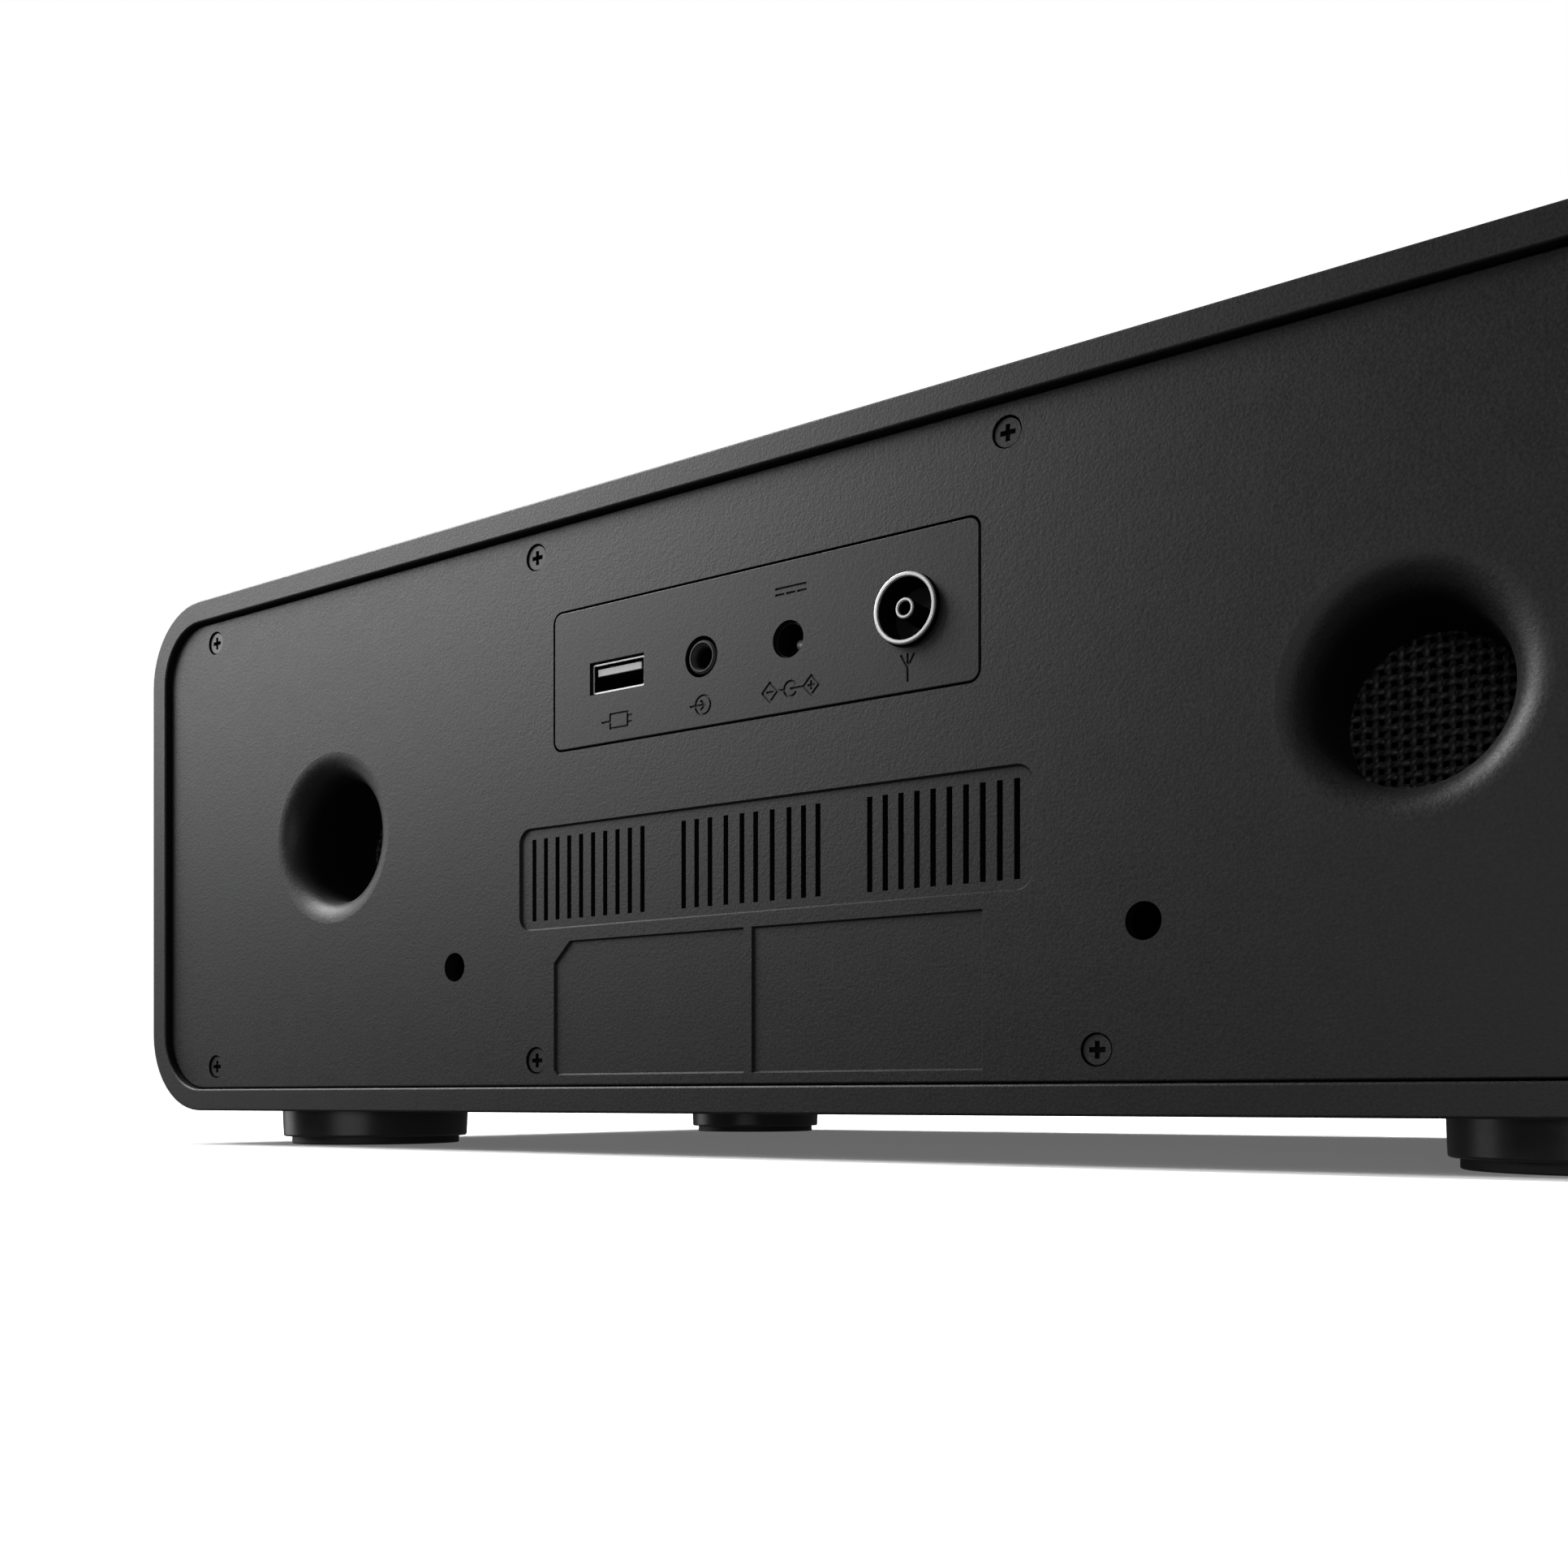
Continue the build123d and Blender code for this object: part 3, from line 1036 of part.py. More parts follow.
# clamp arm that lowers a puck on to the disc
with BuildPart() as clamp_arm:
    with BuildSketch(Plane.XY.offset(Z0 + 106.2)):
        with Locations((0, 13)):
            Rectangle(16, 70)
        with Locations((0, 48)):
            Rectangle(120, 7)
        with Locations((0, DISC_Y)):
            Circle(12)
    extrude(amount=1.6)
    with BuildSketch(Plane.YZ.offset(-60)):
        with Locations((50, Z0 + 107)):
            Circle(2.8)
    extrude(amount=120)
    with BuildSketch(Plane.YZ.offset(-71.9)):
        with Locations((50, Z0 + 107)):
            Circle(1.5)
    extrude(amount=143.8)
    with BuildSketch(Plane.XY.offset(Z0 + 103.6)):
        with Locations((0, DISC_Y)):
            Circle(13)
            Circle(8.2, mode=Mode.SUBTRACT)
    extrude(amount=2.6)
clamp_arm.part.label = "clamp_arm"
export_step(clamp_arm.part, "parts/clamp_arm.step")
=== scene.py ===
"""Looks of a compact table-top music system with a rear connector plate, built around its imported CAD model. Metres throughout."""

import json
import math

import bmesh
import bpy
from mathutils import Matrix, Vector


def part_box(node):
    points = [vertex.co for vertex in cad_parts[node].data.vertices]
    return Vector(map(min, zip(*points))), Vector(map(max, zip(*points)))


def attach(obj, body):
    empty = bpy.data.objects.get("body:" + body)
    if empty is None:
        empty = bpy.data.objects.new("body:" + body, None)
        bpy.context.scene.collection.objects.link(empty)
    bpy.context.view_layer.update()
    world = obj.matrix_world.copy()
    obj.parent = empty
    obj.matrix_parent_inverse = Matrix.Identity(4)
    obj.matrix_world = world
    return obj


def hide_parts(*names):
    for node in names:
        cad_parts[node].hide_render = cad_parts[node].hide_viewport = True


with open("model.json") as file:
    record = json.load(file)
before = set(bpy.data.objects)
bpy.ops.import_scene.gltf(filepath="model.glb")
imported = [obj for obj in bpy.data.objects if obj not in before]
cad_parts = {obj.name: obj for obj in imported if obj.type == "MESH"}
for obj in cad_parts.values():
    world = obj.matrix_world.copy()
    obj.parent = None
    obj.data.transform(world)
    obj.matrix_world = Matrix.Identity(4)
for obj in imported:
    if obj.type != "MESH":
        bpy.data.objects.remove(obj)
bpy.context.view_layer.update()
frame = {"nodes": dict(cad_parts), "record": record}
nodes = frame["nodes"]
record = frame["record"]


MM = 0.001

# ------------------------------------------------------------------ materials
MATS = {}


def new_mat(name):
    m = bpy.data.materials.new(name)
    m.use_nodes = True
    nt = m.node_tree
    nt.nodes.clear()
    out = nt.nodes.new("ShaderNodeOutputMaterial")
    out.location = (700, 0)
    bsdf = nt.nodes.new("ShaderNodeBsdfPrincipled")
    bsdf.location = (400, 0)
    nt.links.new(bsdf.outputs["BSDF"], out.inputs["Surface"])
    MATS[name] = m
    return m, nt, bsdf


def coords(nt, stretch=(1.0, 1.0, 1.0), turn=(0.0, 0.0, 0.0)):
    """Object coordinates, in metres, with an optional stretch for brushed or drawn grain."""
    tc = nt.nodes.new("ShaderNodeTexCoord")
    mp = nt.nodes.new("ShaderNodeMapping")
    mp.inputs["Scale"].default_value = stretch
    mp.inputs["Rotation"].default_value = turn
    nt.links.new(tc.outputs["Object"], mp.inputs["Vector"])
    return mp.outputs["Vector"]


def noise(nt, vec, size, detail=2.0, rough=0.5):
    """Noise whose features are about size millimetres across."""
    n = nt.nodes.new("ShaderNodeTexNoise")
    n.inputs["Scale"].default_value = 1.0 / (size * MM)
    n.inputs["Detail"].default_value = detail
    n.inputs["Roughness"].default_value = rough
    nt.links.new(vec, n.inputs["Vector"])
    return n.outputs["Fac"]


def spread(nt, fac, low, high, lo_in=0.3, hi_in=0.7):
    """The factor mapped to a range of values."""
    r = nt.nodes.new("ShaderNodeMapRange")
    r.inputs["From Min"].default_value = lo_in
    r.inputs["From Max"].default_value = hi_in
    r.inputs["To Min"].default_value = low
    r.inputs["To Max"].default_value = high
    nt.links.new(fac, r.inputs["Value"])
    return r.outputs["Result"]


def tint(nt, fac, dark, light, lo=0.3, hi=0.7):
    """The factor turned into a colour between two colours."""
    r = nt.nodes.new("ShaderNodeValToRGB")
    r.color_ramp.elements[0].position = lo
    r.color_ramp.elements[1].position = hi
    r.color_ramp.elements[0].color = (*dark, 1.0)
    r.color_ramp.elements[1].color = (*light, 1.0)
    nt.links.new(fac, r.inputs["Fac"])
    return r.outputs["Color"]


def mixed(nt, a, b, share):
    """a and b blended by a fixed share of b."""
    m = nt.nodes.new("ShaderNodeMix")
    m.data_type = "FLOAT"
    m.inputs["Factor"].default_value = share
    nt.links.new(a, m.inputs["A"])
    nt.links.new(b, m.inputs["B"])
    return m.outputs["Result"]


def bump(nt, height, depth_mm, strength=1.0, below=None):
    b = nt.nodes.new("ShaderNodeBump")
    b.inputs["Strength"].default_value = strength
    b.inputs["Distance"].default_value = depth_mm * MM
    nt.links.new(height, b.inputs["Height"])
    if below is not None:
        nt.links.new(below, b.inputs["Normal"])
    return b.outputs["Normal"]


def moulded(name, dark, light, rough, grain_mm, depth_mm, rough_var=0.04, ior=1.5, coarse_mm=None, coarse_depth=0.0, mottle_mm=6.0, specular=0.5):
    """Moulded or painted plastic with a fine spark-eroded grain: mottled colour, varied roughness and a shallow pitted bump."""
    m, nt, bsdf = new_mat(name)
    v = coords(nt)
    fine = noise(nt, v, grain_mm, 3.0, 0.6)
    wide = noise(nt, v, mottle_mm, 2.0, 0.5)
    both = mixed(nt, fine, wide, 0.16)
    nt.links.new(tint(nt, both, dark, light, 0.32, 0.68), bsdf.inputs["Base Color"])
    nt.links.new(spread(nt, both, rough - rough_var, rough + rough_var), bsdf.inputs["Roughness"])
    n = bump(nt, fine, depth_mm)
    if coarse_mm:
        n = bump(nt, noise(nt, v, coarse_mm, 2.0, 0.5), coarse_depth, below=n)
    nt.links.new(n, bsdf.inputs["Normal"])
    bsdf.inputs["IOR"].default_value = ior
    bsdf.inputs["Specular IOR Level"].default_value = specular
    return m


def painted_shade_share(nt, bsdf, y_edge, soft, floor_value=0.0):
    """Painted shade: a share that eases from 1 at the depth y_edge down to floor_value deeper in, used to darken bores,
    slots and cavities where shade falls.
    """
    tc = nt.nodes.new("ShaderNodeTexCoord")
    sep = nt.nodes.new("ShaderNodeSeparateXYZ")
    nt.links.new(tc.outputs["Object"], sep.inputs["Vector"])
    r = nt.nodes.new("ShaderNodeMapRange")
    r.interpolation_type = "SMOOTHSTEP"
    r.inputs["From Min"].default_value = y_edge - soft
    r.inputs["From Max"].default_value = y_edge
    r.inputs["To Min"].default_value = floor_value
    r.inputs["To Max"].default_value = 1.0
    nt.links.new(sep.outputs["Y"], r.inputs["Value"])
    return r.outputs["Result"]


def paint_cavity_shade(name, y_edge, soft, floor_value, keep=0.15):
    """Painted shade: blackens a material behind the plane y_edge, where shade falls in the hole; colour, metal and
    gloss all fall away into it.
    """
    nt = MATS[name].node_tree
    bsdf = next(n for n in nt.nodes if n.type == "BSDF_PRINCIPLED")
    share = painted_shade_share(nt, bsdf, y_edge, soft, floor_value)
    colour = bsdf.inputs["Base Color"].links[0].from_socket
    mul = nt.nodes.new("ShaderNodeMix")
    mul.data_type = "RGBA"
    mul.blend_type = "MIX"
    # Painted shade colour, near black, taken on behind the plane.
    mul.inputs["A"].default_value = (0.0015, 0.0015, 0.0015, 1.0)
    nt.links.new(share, mul.inputs["Factor"])
    nt.links.new(colour, mul.inputs["B"])
    nt.links.new(mul.outputs["Result"], bsdf.inputs["Base Color"])
    rough = bsdf.inputs["Roughness"].links[0].from_socket
    rmix = nt.nodes.new("ShaderNodeMix")
    rmix.data_type = "FLOAT"
    rmix.inputs["A"].default_value = 0.85
    nt.links.new(share, rmix.inputs["Factor"])
    nt.links.new(rough, rmix.inputs["B"])
    nt.links.new(rmix.outputs["Result"], bsdf.inputs["Roughness"])
    if bsdf.inputs["Metallic"].default_value > 0.5:
        nt.links.new(share, bsdf.inputs["Metallic"])


def metal(name, dark, light, rough, rough_var, grain_mm, stretch=(1.0, 1.0, 1.0), depth_mm=0.002, metallic=1.0):
    """Plated, drawn or turned metal: streaked roughness and a hair-fine scratch bump along the stretch."""
    m, nt, bsdf = new_mat(name)
    v = coords(nt, stretch)
    fine = noise(nt, v, grain_mm, 4.0, 0.65)
    nt.links.new(tint(nt, fine, dark, light), bsdf.inputs["Base Color"])
    nt.links.new(spread(nt, fine, rough - rough_var, rough + rough_var), bsdf.inputs["Roughness"])
    nt.links.new(bump(nt, fine, depth_mm), bsdf.inputs["Normal"])
    bsdf.inputs["Metallic"].default_value = metallic
    return m


moulded("cabinet_paint", (0.0115, 0.0115, 0.0122), (0.0235, 0.0235, 0.0248), 0.46, 0.50, 0.040, rough_var=0.06, coarse_mm=0.95, coarse_depth=0.020)
moulded("panel_plastic", (0.0115, 0.0115, 0.0122), (0.0235, 0.0235, 0.0248), 0.46, 0.52, 0.048, rough_var=0.07, coarse_mm=1.0, coarse_depth=0.026)
moulded("plate_plastic", (0.0120, 0.0120, 0.0127), (0.0215, 0.0215, 0.0227), 0.45, 0.52, 0.030, rough_var=0.05, coarse_mm=1.0, coarse_depth=0.014)
moulded("inner_plastic", (0.0070, 0.0070, 0.0072), (0.0120, 0.0120, 0.0125), 0.50, 0.60, 0.010, mottle_mm=9.0)
moulded("grille_plastic", (0.0120, 0.0120, 0.0125), (0.0200, 0.0200, 0.0205), 0.52, 0.40, 0.020)
moulded("foot_plastic", (0.0180, 0.0180, 0.0182), (0.0250, 0.0250, 0.0253), 0.33, 0.90, 0.002, rough_var=0.03, mottle_mm=14.0, specular=0.75)
moulded("pad_rubber", (0.0160, 0.0160, 0.0160), (0.0260, 0.0260, 0.0260), 0.55, 0.50, 0.012)
moulded("button_plastic", (0.0160, 0.0160, 0.0165), (0.0240, 0.0240, 0.0245), 0.36, 0.50, 0.008, rough_var=0.03)
moulded("soft_rubber", (0.0140, 0.0140, 0.0145), (0.0260, 0.0260, 0.0265), 0.66, 0.70, 0.030)
moulded("white_plastic", (0.78, 0.78, 0.76), (0.90, 0.90, 0.885), 0.38, 0.80, 0.006, rough_var=0.04)
moulded("wire", (0.10, 0.010, 0.010), (0.16, 0.016, 0.014), 0.42, 1.2, 0.010)
moulded("cap_sleeve", (0.010, 0.012, 0.035), (0.018, 0.020, 0.055), 0.30, 1.5, 0.006)

metal("steel", (0.46, 0.46, 0.47), (0.58, 0.58, 0.59), 0.34, 0.06, 0.6, stretch=(1.0, 1.0, 0.2))
metal("bright_metal", (0.88, 0.88, 0.88), (0.95, 0.95, 0.95), 0.30, 0.03, 0.5, depth_mm=0.0006, metallic=0.55)
metal("black_screw", (0.030, 0.030, 0.031), (0.060, 0.060, 0.062), 0.36, 0.07, 0.35, depth_mm=0.010, metallic=0.0)
metal("black_steel", (0.018, 0.018, 0.019), (0.030, 0.030, 0.031), 0.45, 0.06, 0.8, depth_mm=0.008, metallic=0.0)
metal("magnet", (0.050, 0.050, 0.052), (0.085, 0.085, 0.088), 0.55, 0.08, 1.0, depth_mm=0.030, metallic=0.2)
metal("heatsink_alu", (0.62, 0.62, 0.63), (0.74, 0.74, 0.75), 0.40, 0.06, 0.5, stretch=(1.0, 1.0, 0.12), depth_mm=0.004)
metal("knob_metal", (0.155, 0.155, 0.160), (0.215, 0.215, 0.222), 0.32, 0.06, 0.30, stretch=(1.0, 0.25, 1.0), depth_mm=0.003)


def circuit_board():
    """Solder resist over green lacquer: a wave pattern read through Manhattan cells, mixed with noise."""
    m, nt, bsdf = new_mat("board")
    v = coords(nt)
    cell = nt.nodes.new("ShaderNodeTexVoronoi")
    cell.inputs["Scale"].default_value = 1.0 / (5.0 * MM)
    cell.distance = "MANHATTAN"
    nt.links.new(v, cell.inputs["Vector"])
    lines = nt.nodes.new("ShaderNodeTexWave")
    lines.inputs["Scale"].default_value = 90.0
    lines.inputs["Distortion"].default_value = 0.0
    nt.links.new(cell.outputs["Position"], lines.inputs["Vector"])
    both = mixed(nt, lines.outputs["Fac"], noise(nt, v, 1.2, 2.0, 0.5), 0.4)
    nt.links.new(tint(nt, both, (0.010, 0.050, 0.024), (0.022, 0.105, 0.050), 0.35, 0.62), bsdf.inputs["Base Color"])
    nt.links.new(spread(nt, both, 0.24, 0.38), bsdf.inputs["Roughness"])
    nt.links.new(bump(nt, both, 0.03), bsdf.inputs["Normal"])


def glossy_window(name, dark, light, rough):
    """Tinted acrylic: nearly black, a faint cloud in its depth and a polished coat."""
    m, nt, bsdf = new_mat(name)
    v = coords(nt)
    cloud = noise(nt, v, 9.0, 2.0, 0.5)
    nt.links.new(tint(nt, cloud, dark, light), bsdf.inputs["Base Color"])
    nt.links.new(spread(nt, noise(nt, v, 0.8, 3.0, 0.6), rough, rough + 0.03), bsdf.inputs["Roughness"])
    bsdf.inputs["Coat Weight"].default_value = 0.6
    bsdf.inputs["Coat Roughness"].default_value = 0.03
    bsdf.inputs["IOR"].default_value = 1.49


def pressed_paper():
    """Pulp cone: short felted fibres and a dull dark tone."""
    m, nt, bsdf = new_mat("cone_paper")
    v = coords(nt)
    a = noise(nt, v, 0.9, 5.0, 0.7)
    b = noise(nt, coords(nt, (1.0, 1.0, 5.0)), 1.6, 4.0, 0.6)
    both = mixed(nt, a, b, 0.5)
    nt.links.new(tint(nt, both, (0.016, 0.015, 0.014), (0.040, 0.038, 0.036)), bsdf.inputs["Base Color"])
    nt.links.new(spread(nt, both, 0.72, 0.9), bsdf.inputs["Roughness"])
    nt.links.new(bump(nt, both, 0.06), bsdf.inputs["Normal"])


def yarn(name, along_x):
    """Twisted yarn: slanting ply streaks across each thread, with a slight sheen."""
    m, nt, bsdf = new_mat(name)
    slant = 0.62 if along_x else -0.62
    v = coords(nt, (1.0, 1.0, 1.0), (0.0, slant + (0.0 if along_x else math.pi / 2), 0.0))
    ply = nt.nodes.new("ShaderNodeTexWave")
    ply.wave_type = "BANDS"
    ply.bands_direction = "X"
    ply.inputs["Scale"].default_value = 260.0
    ply.inputs["Distortion"].default_value = 1.4
    ply.inputs["Detail"].default_value = 1.0
    ply.inputs["Detail Scale"].default_value = 2.0
    nt.links.new(v, ply.inputs["Vector"])
    both = mixed(nt, ply.outputs["Fac"], noise(nt, v, 0.12, 3.0, 0.6), 0.35)
    nt.links.new(tint(nt, both, (0.018, 0.018, 0.0188), (0.064, 0.064, 0.066), 0.25, 0.75), bsdf.inputs["Base Color"])
    nt.links.new(spread(nt, both, 0.58, 0.40), bsdf.inputs["Roughness"])
    nt.links.new(bump(nt, both, 0.05), bsdf.inputs["Normal"])
    bsdf.inputs["Sheen Weight"].default_value = 0.25
    bsdf.inputs["Sheen Roughness"].default_value = 0.4


PANEL_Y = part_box("connector_plate")[1].y
metal("socket_shell", (0.86, 0.86, 0.86), (0.94, 0.94, 0.94), 0.34, 0.03, 0.5, depth_mm=0.0006, metallic=0.45)
metal("ring_metal", (0.90, 0.90, 0.90), (0.96, 0.96, 0.96), 0.30, 0.03, 0.5, depth_mm=0.0006, metallic=0.5)
metal("pin_metal", (0.92, 0.92, 0.92), (0.97, 0.97, 0.97), 0.47, 0.03, 0.5, depth_mm=0.0004, metallic=0.6)
moulded("tongue_white", (0.84, 0.84, 0.83), (0.93, 0.93, 0.92), 0.38, 0.80, 0.002, rough_var=0.04)
moulded("jack_grey", (0.085, 0.085, 0.087), (0.110, 0.110, 0.112), 0.40, 0.60, 0.006)
moulded("inlet_black", (0.0050, 0.0050, 0.0052), (0.0090, 0.0090, 0.0092), 0.55, 0.60, 0.006)
# Painted shade in the USB shell and tongue, the antenna ring, the panel's bores and slots, the aux jack and the screw
# recesses.
paint_cavity_shade("socket_shell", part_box("usb_shell")[1].y - 0.06 * MM, 0.12 * MM, 0.0)
paint_cavity_shade("tongue_white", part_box("usb_tongue")[1].y - 0.12 * MM, 0.16 * MM, 0.0)
paint_cavity_shade("ring_metal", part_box("antenna_shell")[1].y - 0.30 * MM, 0.20 * MM, 0.0)
paint_cavity_shade("panel_plastic", PANEL_Y - 1.8 * MM, 5.4 * MM, 0.0)
paint_cavity_shade("jack_grey", PANEL_Y - 0.6 * MM, 0.8 * MM, 0.0)
paint_cavity_shade("black_screw", PANEL_Y - 0.45 * MM, 0.25 * MM, 0.0)
circuit_board()
glossy_window("window", (0.0045, 0.0050, 0.0060), (0.0075, 0.0080, 0.0095), 0.06)
glossy_window("red_window", (0.030, 0.002, 0.002), (0.055, 0.004, 0.004), 0.08)
pressed_paper()
yarn("yarn_x", True)
yarn("yarn_z", False)

SLOT_OF = {s["node"]: s["material_slot"] for s in record["subparts"]}
SPECIAL = {
    "connector_plate": "plate_plastic",
    "fascia": "plate_plastic",
    "port_meshes": "yarn_x",
    "usb_shell": "socket_shell",
    "usb_tongue": "tongue_white",
    "dc_pin": "pin_metal",
    "antenna_shell": "ring_metal",
    "antenna_contact": "ring_metal",
    "aux_jack": "jack_grey",
    "dc_jack": "inlet_black",
    "antenna_insulator": "inlet_black",
}
for name, obj in nodes.items():
    obj.data.materials.clear()
    obj.data.materials.append(MATS[SPECIAL.get(name) or SLOT_OF[name]])


# ------------------------------------------------------------------ new pieces
def made(name, bm, mats, body="cabinet", smooth=True):
    me = bpy.data.meshes.new(name)
    bm.normal_update()
    bm.to_mesh(me)
    bm.free()
    ob = bpy.data.objects.new(name, me)
    bpy.context.scene.collection.objects.link(ob)
    for m in mats:
        me.materials.append(MATS[m])
    if smooth:
        for p in me.polygons:
            p.use_smooth = True
    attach(ob, body)
    return ob


PITCH = 1.92 * MM


def woven_disc(name, cx, cz, y_mid, radius):
    """A plain weave of twisted two-ply threads, each one passing over and under its neighbours, cut to a disc."""
    bm = bmesh.new()
    half_t, wave = 0.26 * MM, 0.215 * MM
    count = int(radius / PITCH)
    ring = 12
    for direction in (0, 1):
        half_w = (0.60 if direction == 0 else 0.56) * MM
        sign = 1.0 if direction == 0 else -1.0
        for i in range(-count, count + 1):
            off = i * PITCH
            reach = math.sqrt(max(radius * radius - (abs(off) + half_w) ** 2, 0.0))
            if reach < 1.2 * PITCH:
                continue
            steps = max(10, int(2 * reach / (PITCH / 10)))
            last = None
            for k in range(steps + 1):
                s = -reach + 2 * reach * k / steps
                phase = math.pi * s / PITCH + (math.pi if i % 2 else 0.0)
                over = sign * math.cos(phase)
                lift = wave * over
                wide = half_w * (0.85 + 0.15 * over)
                twist = 2 * math.pi * s / (1.35 * PITCH) + 1.7 * i
                loop = []
                for r in range(ring):
                    a = 2 * math.pi * r / ring
                    ply = 1.0 + 0.13 * math.cos(2 * a - 2 * twist)
                    u = wide * ply * math.cos(a)
                    t = half_t * ply * math.sin(a)
                    if direction == 0:
                        p = (cx + s, y_mid + lift + t, cz + off + u)
                    else:
                        p = (cx + off + u, y_mid + lift + t, cz + s)
                    loop.append(bm.verts.new(p))
                if last:
                    for r in range(ring):
                        q = (last[r], last[(r + 1) % ring], loop[(r + 1) % ring], loop[r])
                        f = bm.faces.new(q if direction == 0 else q[::-1])
                        f.material_index = direction
                else:
                    f = bm.faces.new(loop if direction == 0 else loop[::-1])
                    f.material_index = direction
                last = loop
            f = bm.faces.new(last[::-1] if direction == 0 else last)
            f.material_index = direction
    bmesh.ops.recalc_face_normals(bm, faces=bm.faces)
    return made(name, bm, ["yarn_x", "yarn_z"])


lo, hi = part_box("port_meshes")
mesh_y = (lo.y + hi.y) / 2
mesh_z = (lo.z + hi.z) / 2
mesh_r = (hi.z - lo.z) / 2
weave_left = woven_disc("port_weave_left", lo.x + mesh_r, mesh_z, mesh_y, mesh_r - 0.2 * MM)
weave_right = woven_disc("port_weave_right", hi.x - mesh_r, mesh_z, mesh_y, mesh_r - 0.2 * MM)
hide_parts("port_meshes")
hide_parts("port_meshes")


def spring_tabs():
    """The two leaf springs that hang from the socket shell's ceiling: bent strips with a raised contact bow."""
    bm = bmesh.new()
    lo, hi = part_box("usb_shell")
    cx = (lo.x + hi.x) / 2
    ceiling = hi.z - 0.30 * MM
    front = hi.y
    for side in (-1, 1):
        x0 = cx + side * 3.2 * MM
        n, m = 10, 4
        low, high = [], []
        for k in range(n + 1):
            t = k / n
            y = front - (1.5 + 3.0 * t) * MM
            drop = (0.06 + 0.34 * math.sin(math.pi * t) ** 1.5) * MM
            rows = []
            for shift in (0.10 * MM, 0.0):
                row = []
                for j in range(m + 1):
                    w = (j / m - 0.5) * 1.25 * MM
                    bow = 0.05 * MM * (1 - (2 * j / m - 1) ** 2)
                    row.append(bm.verts.new((x0 + w, y, ceiling - drop - bow + shift)))
                rows.append(row)
            high.append(rows[0])
            low.append(rows[1])
        for k in range(n):
            for j in range(m):
                bm.faces.new((low[k][j], low[k][j + 1], low[k + 1][j + 1], low[k + 1][j]))
                bm.faces.new((high[k][j], high[k + 1][j], high[k + 1][j + 1], high[k][j + 1]))
            bm.faces.new((low[k][0], low[k + 1][0], high[k + 1][0], high[k][0]))
            bm.faces.new((low[k][m], high[k][m], high[k + 1][m], low[k + 1][m]))
        for j in range(m):
            bm.faces.new((low[0][j], high[0][j], high[0][j + 1], low[0][j + 1]))
            bm.faces.new((low[n][j], low[n][j + 1], high[n][j + 1], high[n][j]))
    bmesh.ops.recalc_face_normals(bm, faces=bm.faces)
    return made("usb_springs", bm, ["bright_metal"])


spring_tabs()


# ------------------------------------------------------------------ floor
def floor():
    bm = bmesh.new()
    n, size = 24, 8.0
    grid = [[bm.verts.new((-size / 2 + size * i / n, -size / 2 + size * j / n, 0.0)) for i in range(n + 1)] for j in range(n + 1)]
    for j in range(n):
        for i in range(n):
            bm.faces.new((grid[j][i], grid[j][i + 1], grid[j + 1][i + 1], grid[j + 1][i]))
    me = bpy.data.meshes.new("floor")
    bm.to_mesh(me)
    bm.free()
    ob = bpy.data.objects.new("floor", me)
    bpy.context.scene.collection.objects.link(ob)
    m, nt, bsdf = new_mat("floor_white")
    v = coords(nt)
    n1 = noise(nt, v, 60.0, 2.0, 0.5)
    nt.links.new(tint(nt, n1, (0.86, 0.86, 0.86), (0.88, 0.88, 0.88)), bsdf.inputs["Base Color"])
    bsdf.inputs["Roughness"].default_value = 0.9
    bsdf.inputs["Specular IOR Level"].default_value = 0.0
    bsdf.inputs["Emission Color"].default_value = (1.0, 1.0, 1.0, 1.0)
    bsdf.inputs["Emission Strength"].default_value = 0.13
    me.materials.append(m)
    ob.visible_glossy = False
    ob.visible_diffuse = False
    return ob


floor()


# ------------------------------------------------------------------ lights
def area(name, place, target, size, size_y, radiance, colour=(1.0, 1.0, 1.0)):
    data = bpy.data.lights.new(name, "AREA")
    data.shape = "RECTANGLE"
    data.size, data.size_y = size, size_y
    data.energy = radiance * math.pi * size * size_y
    data.color = colour
    ob = bpy.data.objects.new(name, data)
    bpy.context.scene.collection.objects.link(ob)
    ob.location = place
    ob.rotation_mode = "QUATERNION"
    ob.rotation_quaternion = (Vector(target) - Vector(place)).to_track_quat("-Z", "Y")
    return ob


def around(azimuth, elevation, distance, centre=(0.0, 0.1, 0.07)):
    """A point around the rear face: azimuth 0 along +X, 90 along +Y."""
    a, e = math.radians(azimuth), math.radians(elevation)
    return (
        centre[0] + distance * math.cos(a) * math.cos(e),
        centre[1] + distance * math.sin(a) * math.cos(e),
        centre[2] + distance * math.sin(e),
    )


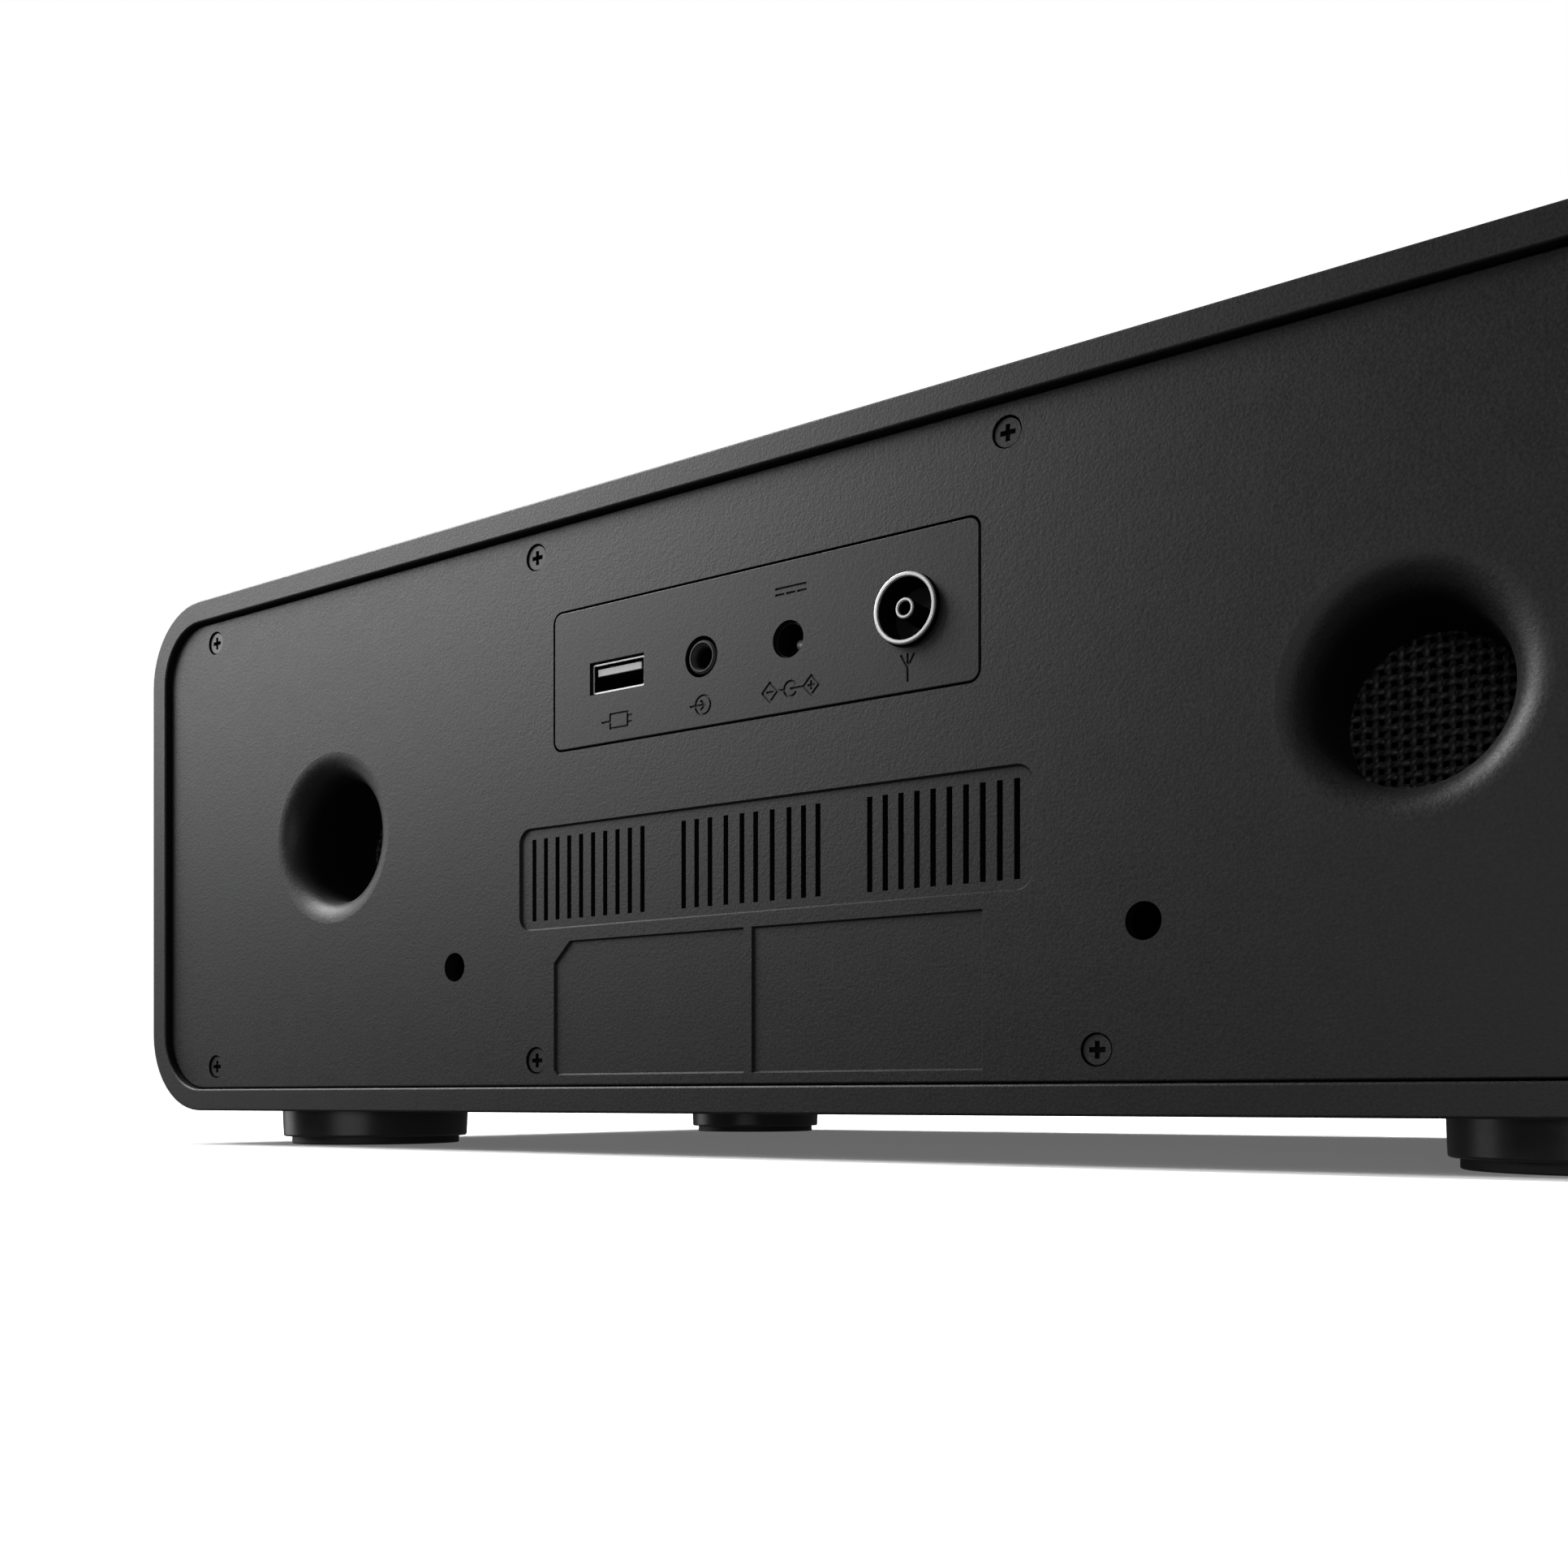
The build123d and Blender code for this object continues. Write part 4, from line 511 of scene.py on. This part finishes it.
AIM = (0.0, 0.1, 0.07)
area("key_high", around(28, 42, 1.5), AIM, 0.62, 0.62, 9.5)
area("key_side", around(5, 42, 1.5), AIM, 0.62, 0.62, 7.5)
area("key_low", around(28, 22, 1.5), AIM, 0.62, 0.62, 4.2)
area("edge_low", around(5, 2, 1.5), AIM, 0.62, 0.62, 1.15)
area("back_strip", around(105, 0, 1.5), AIM, 1.1, 0.26, 2.6)
area("socket_spark", around(53, 18, 1.5), AIM, 0.42, 0.16, 3.0)
area("front_softbox", around(-60, 35, 1.6), (0.0, -0.1, 0.07), 1.2, 0.8, 7.0)
area("front_fill", around(-130, 25, 1.6), (0.0, -0.1, 0.07), 1.0, 0.8, 4.5)

sun_data = bpy.data.lights.new("overhead", "SUN")
sun_data.energy = 3.2
sun_data.angle = math.radians(2.5)
sun = bpy.data.objects.new("overhead", sun_data)
bpy.context.scene.collection.objects.link(sun)
sun.rotation_euler = (math.radians(2.0), 0.0, 0.0)
sun.visible_glossy = False

world = bpy.data.worlds.new("studio")
bpy.context.scene.world = world
world.use_nodes = True
wt = world.node_tree
wt.nodes.clear()
w_out = wt.nodes.new("ShaderNodeOutputWorld")
w_mix = wt.nodes.new("ShaderNodeMixShader")
w_path = wt.nodes.new("ShaderNodeLightPath")
w_seen = wt.nodes.new("ShaderNodeBackground")
w_fill = wt.nodes.new("ShaderNodeBackground")
w_seen.inputs["Color"].default_value = (1.0, 1.0, 1.0, 1.0)
w_seen.inputs["Strength"].default_value = 1.0
w_fill.inputs["Color"].default_value = (1.0, 1.0, 1.0, 1.0)
w_fill.inputs["Strength"].default_value = 0.06
wt.links.new(w_path.outputs["Is Camera Ray"], w_mix.inputs["Fac"])
wt.links.new(w_fill.outputs["Background"], w_mix.inputs[1])
wt.links.new(w_seen.outputs["Background"], w_mix.inputs[2])
wt.links.new(w_mix.outputs["Shader"], w_out.inputs["Surface"])

# ------------------------------------------------------------------ camera
cam_data = bpy.data.cameras.new("camera")
cam_data.sensor_width = 36.0
cam_data.lens = 32.24
cam_data.shift_x = -0.1056
cam_data.shift_y = 0.2011
cam_data.clip_start = 0.01
cam_data.clip_end = 50.0
cam = bpy.data.objects.new("camera", cam_data)
bpy.context.scene.collection.objects.link(cam)
cam.location = (-0.1576, 0.3094, 0.0106)
cam.rotation_mode = "QUATERNION"
cam.rotation_quaternion = Vector((0.4986, -0.8664, 0.0)).to_track_quat("-Z", "Y")
bpy.context.scene.camera = cam
bpy.context.scene.view_settings.view_transform = "Standard"
bpy.context.scene.view_settings.look = "None"
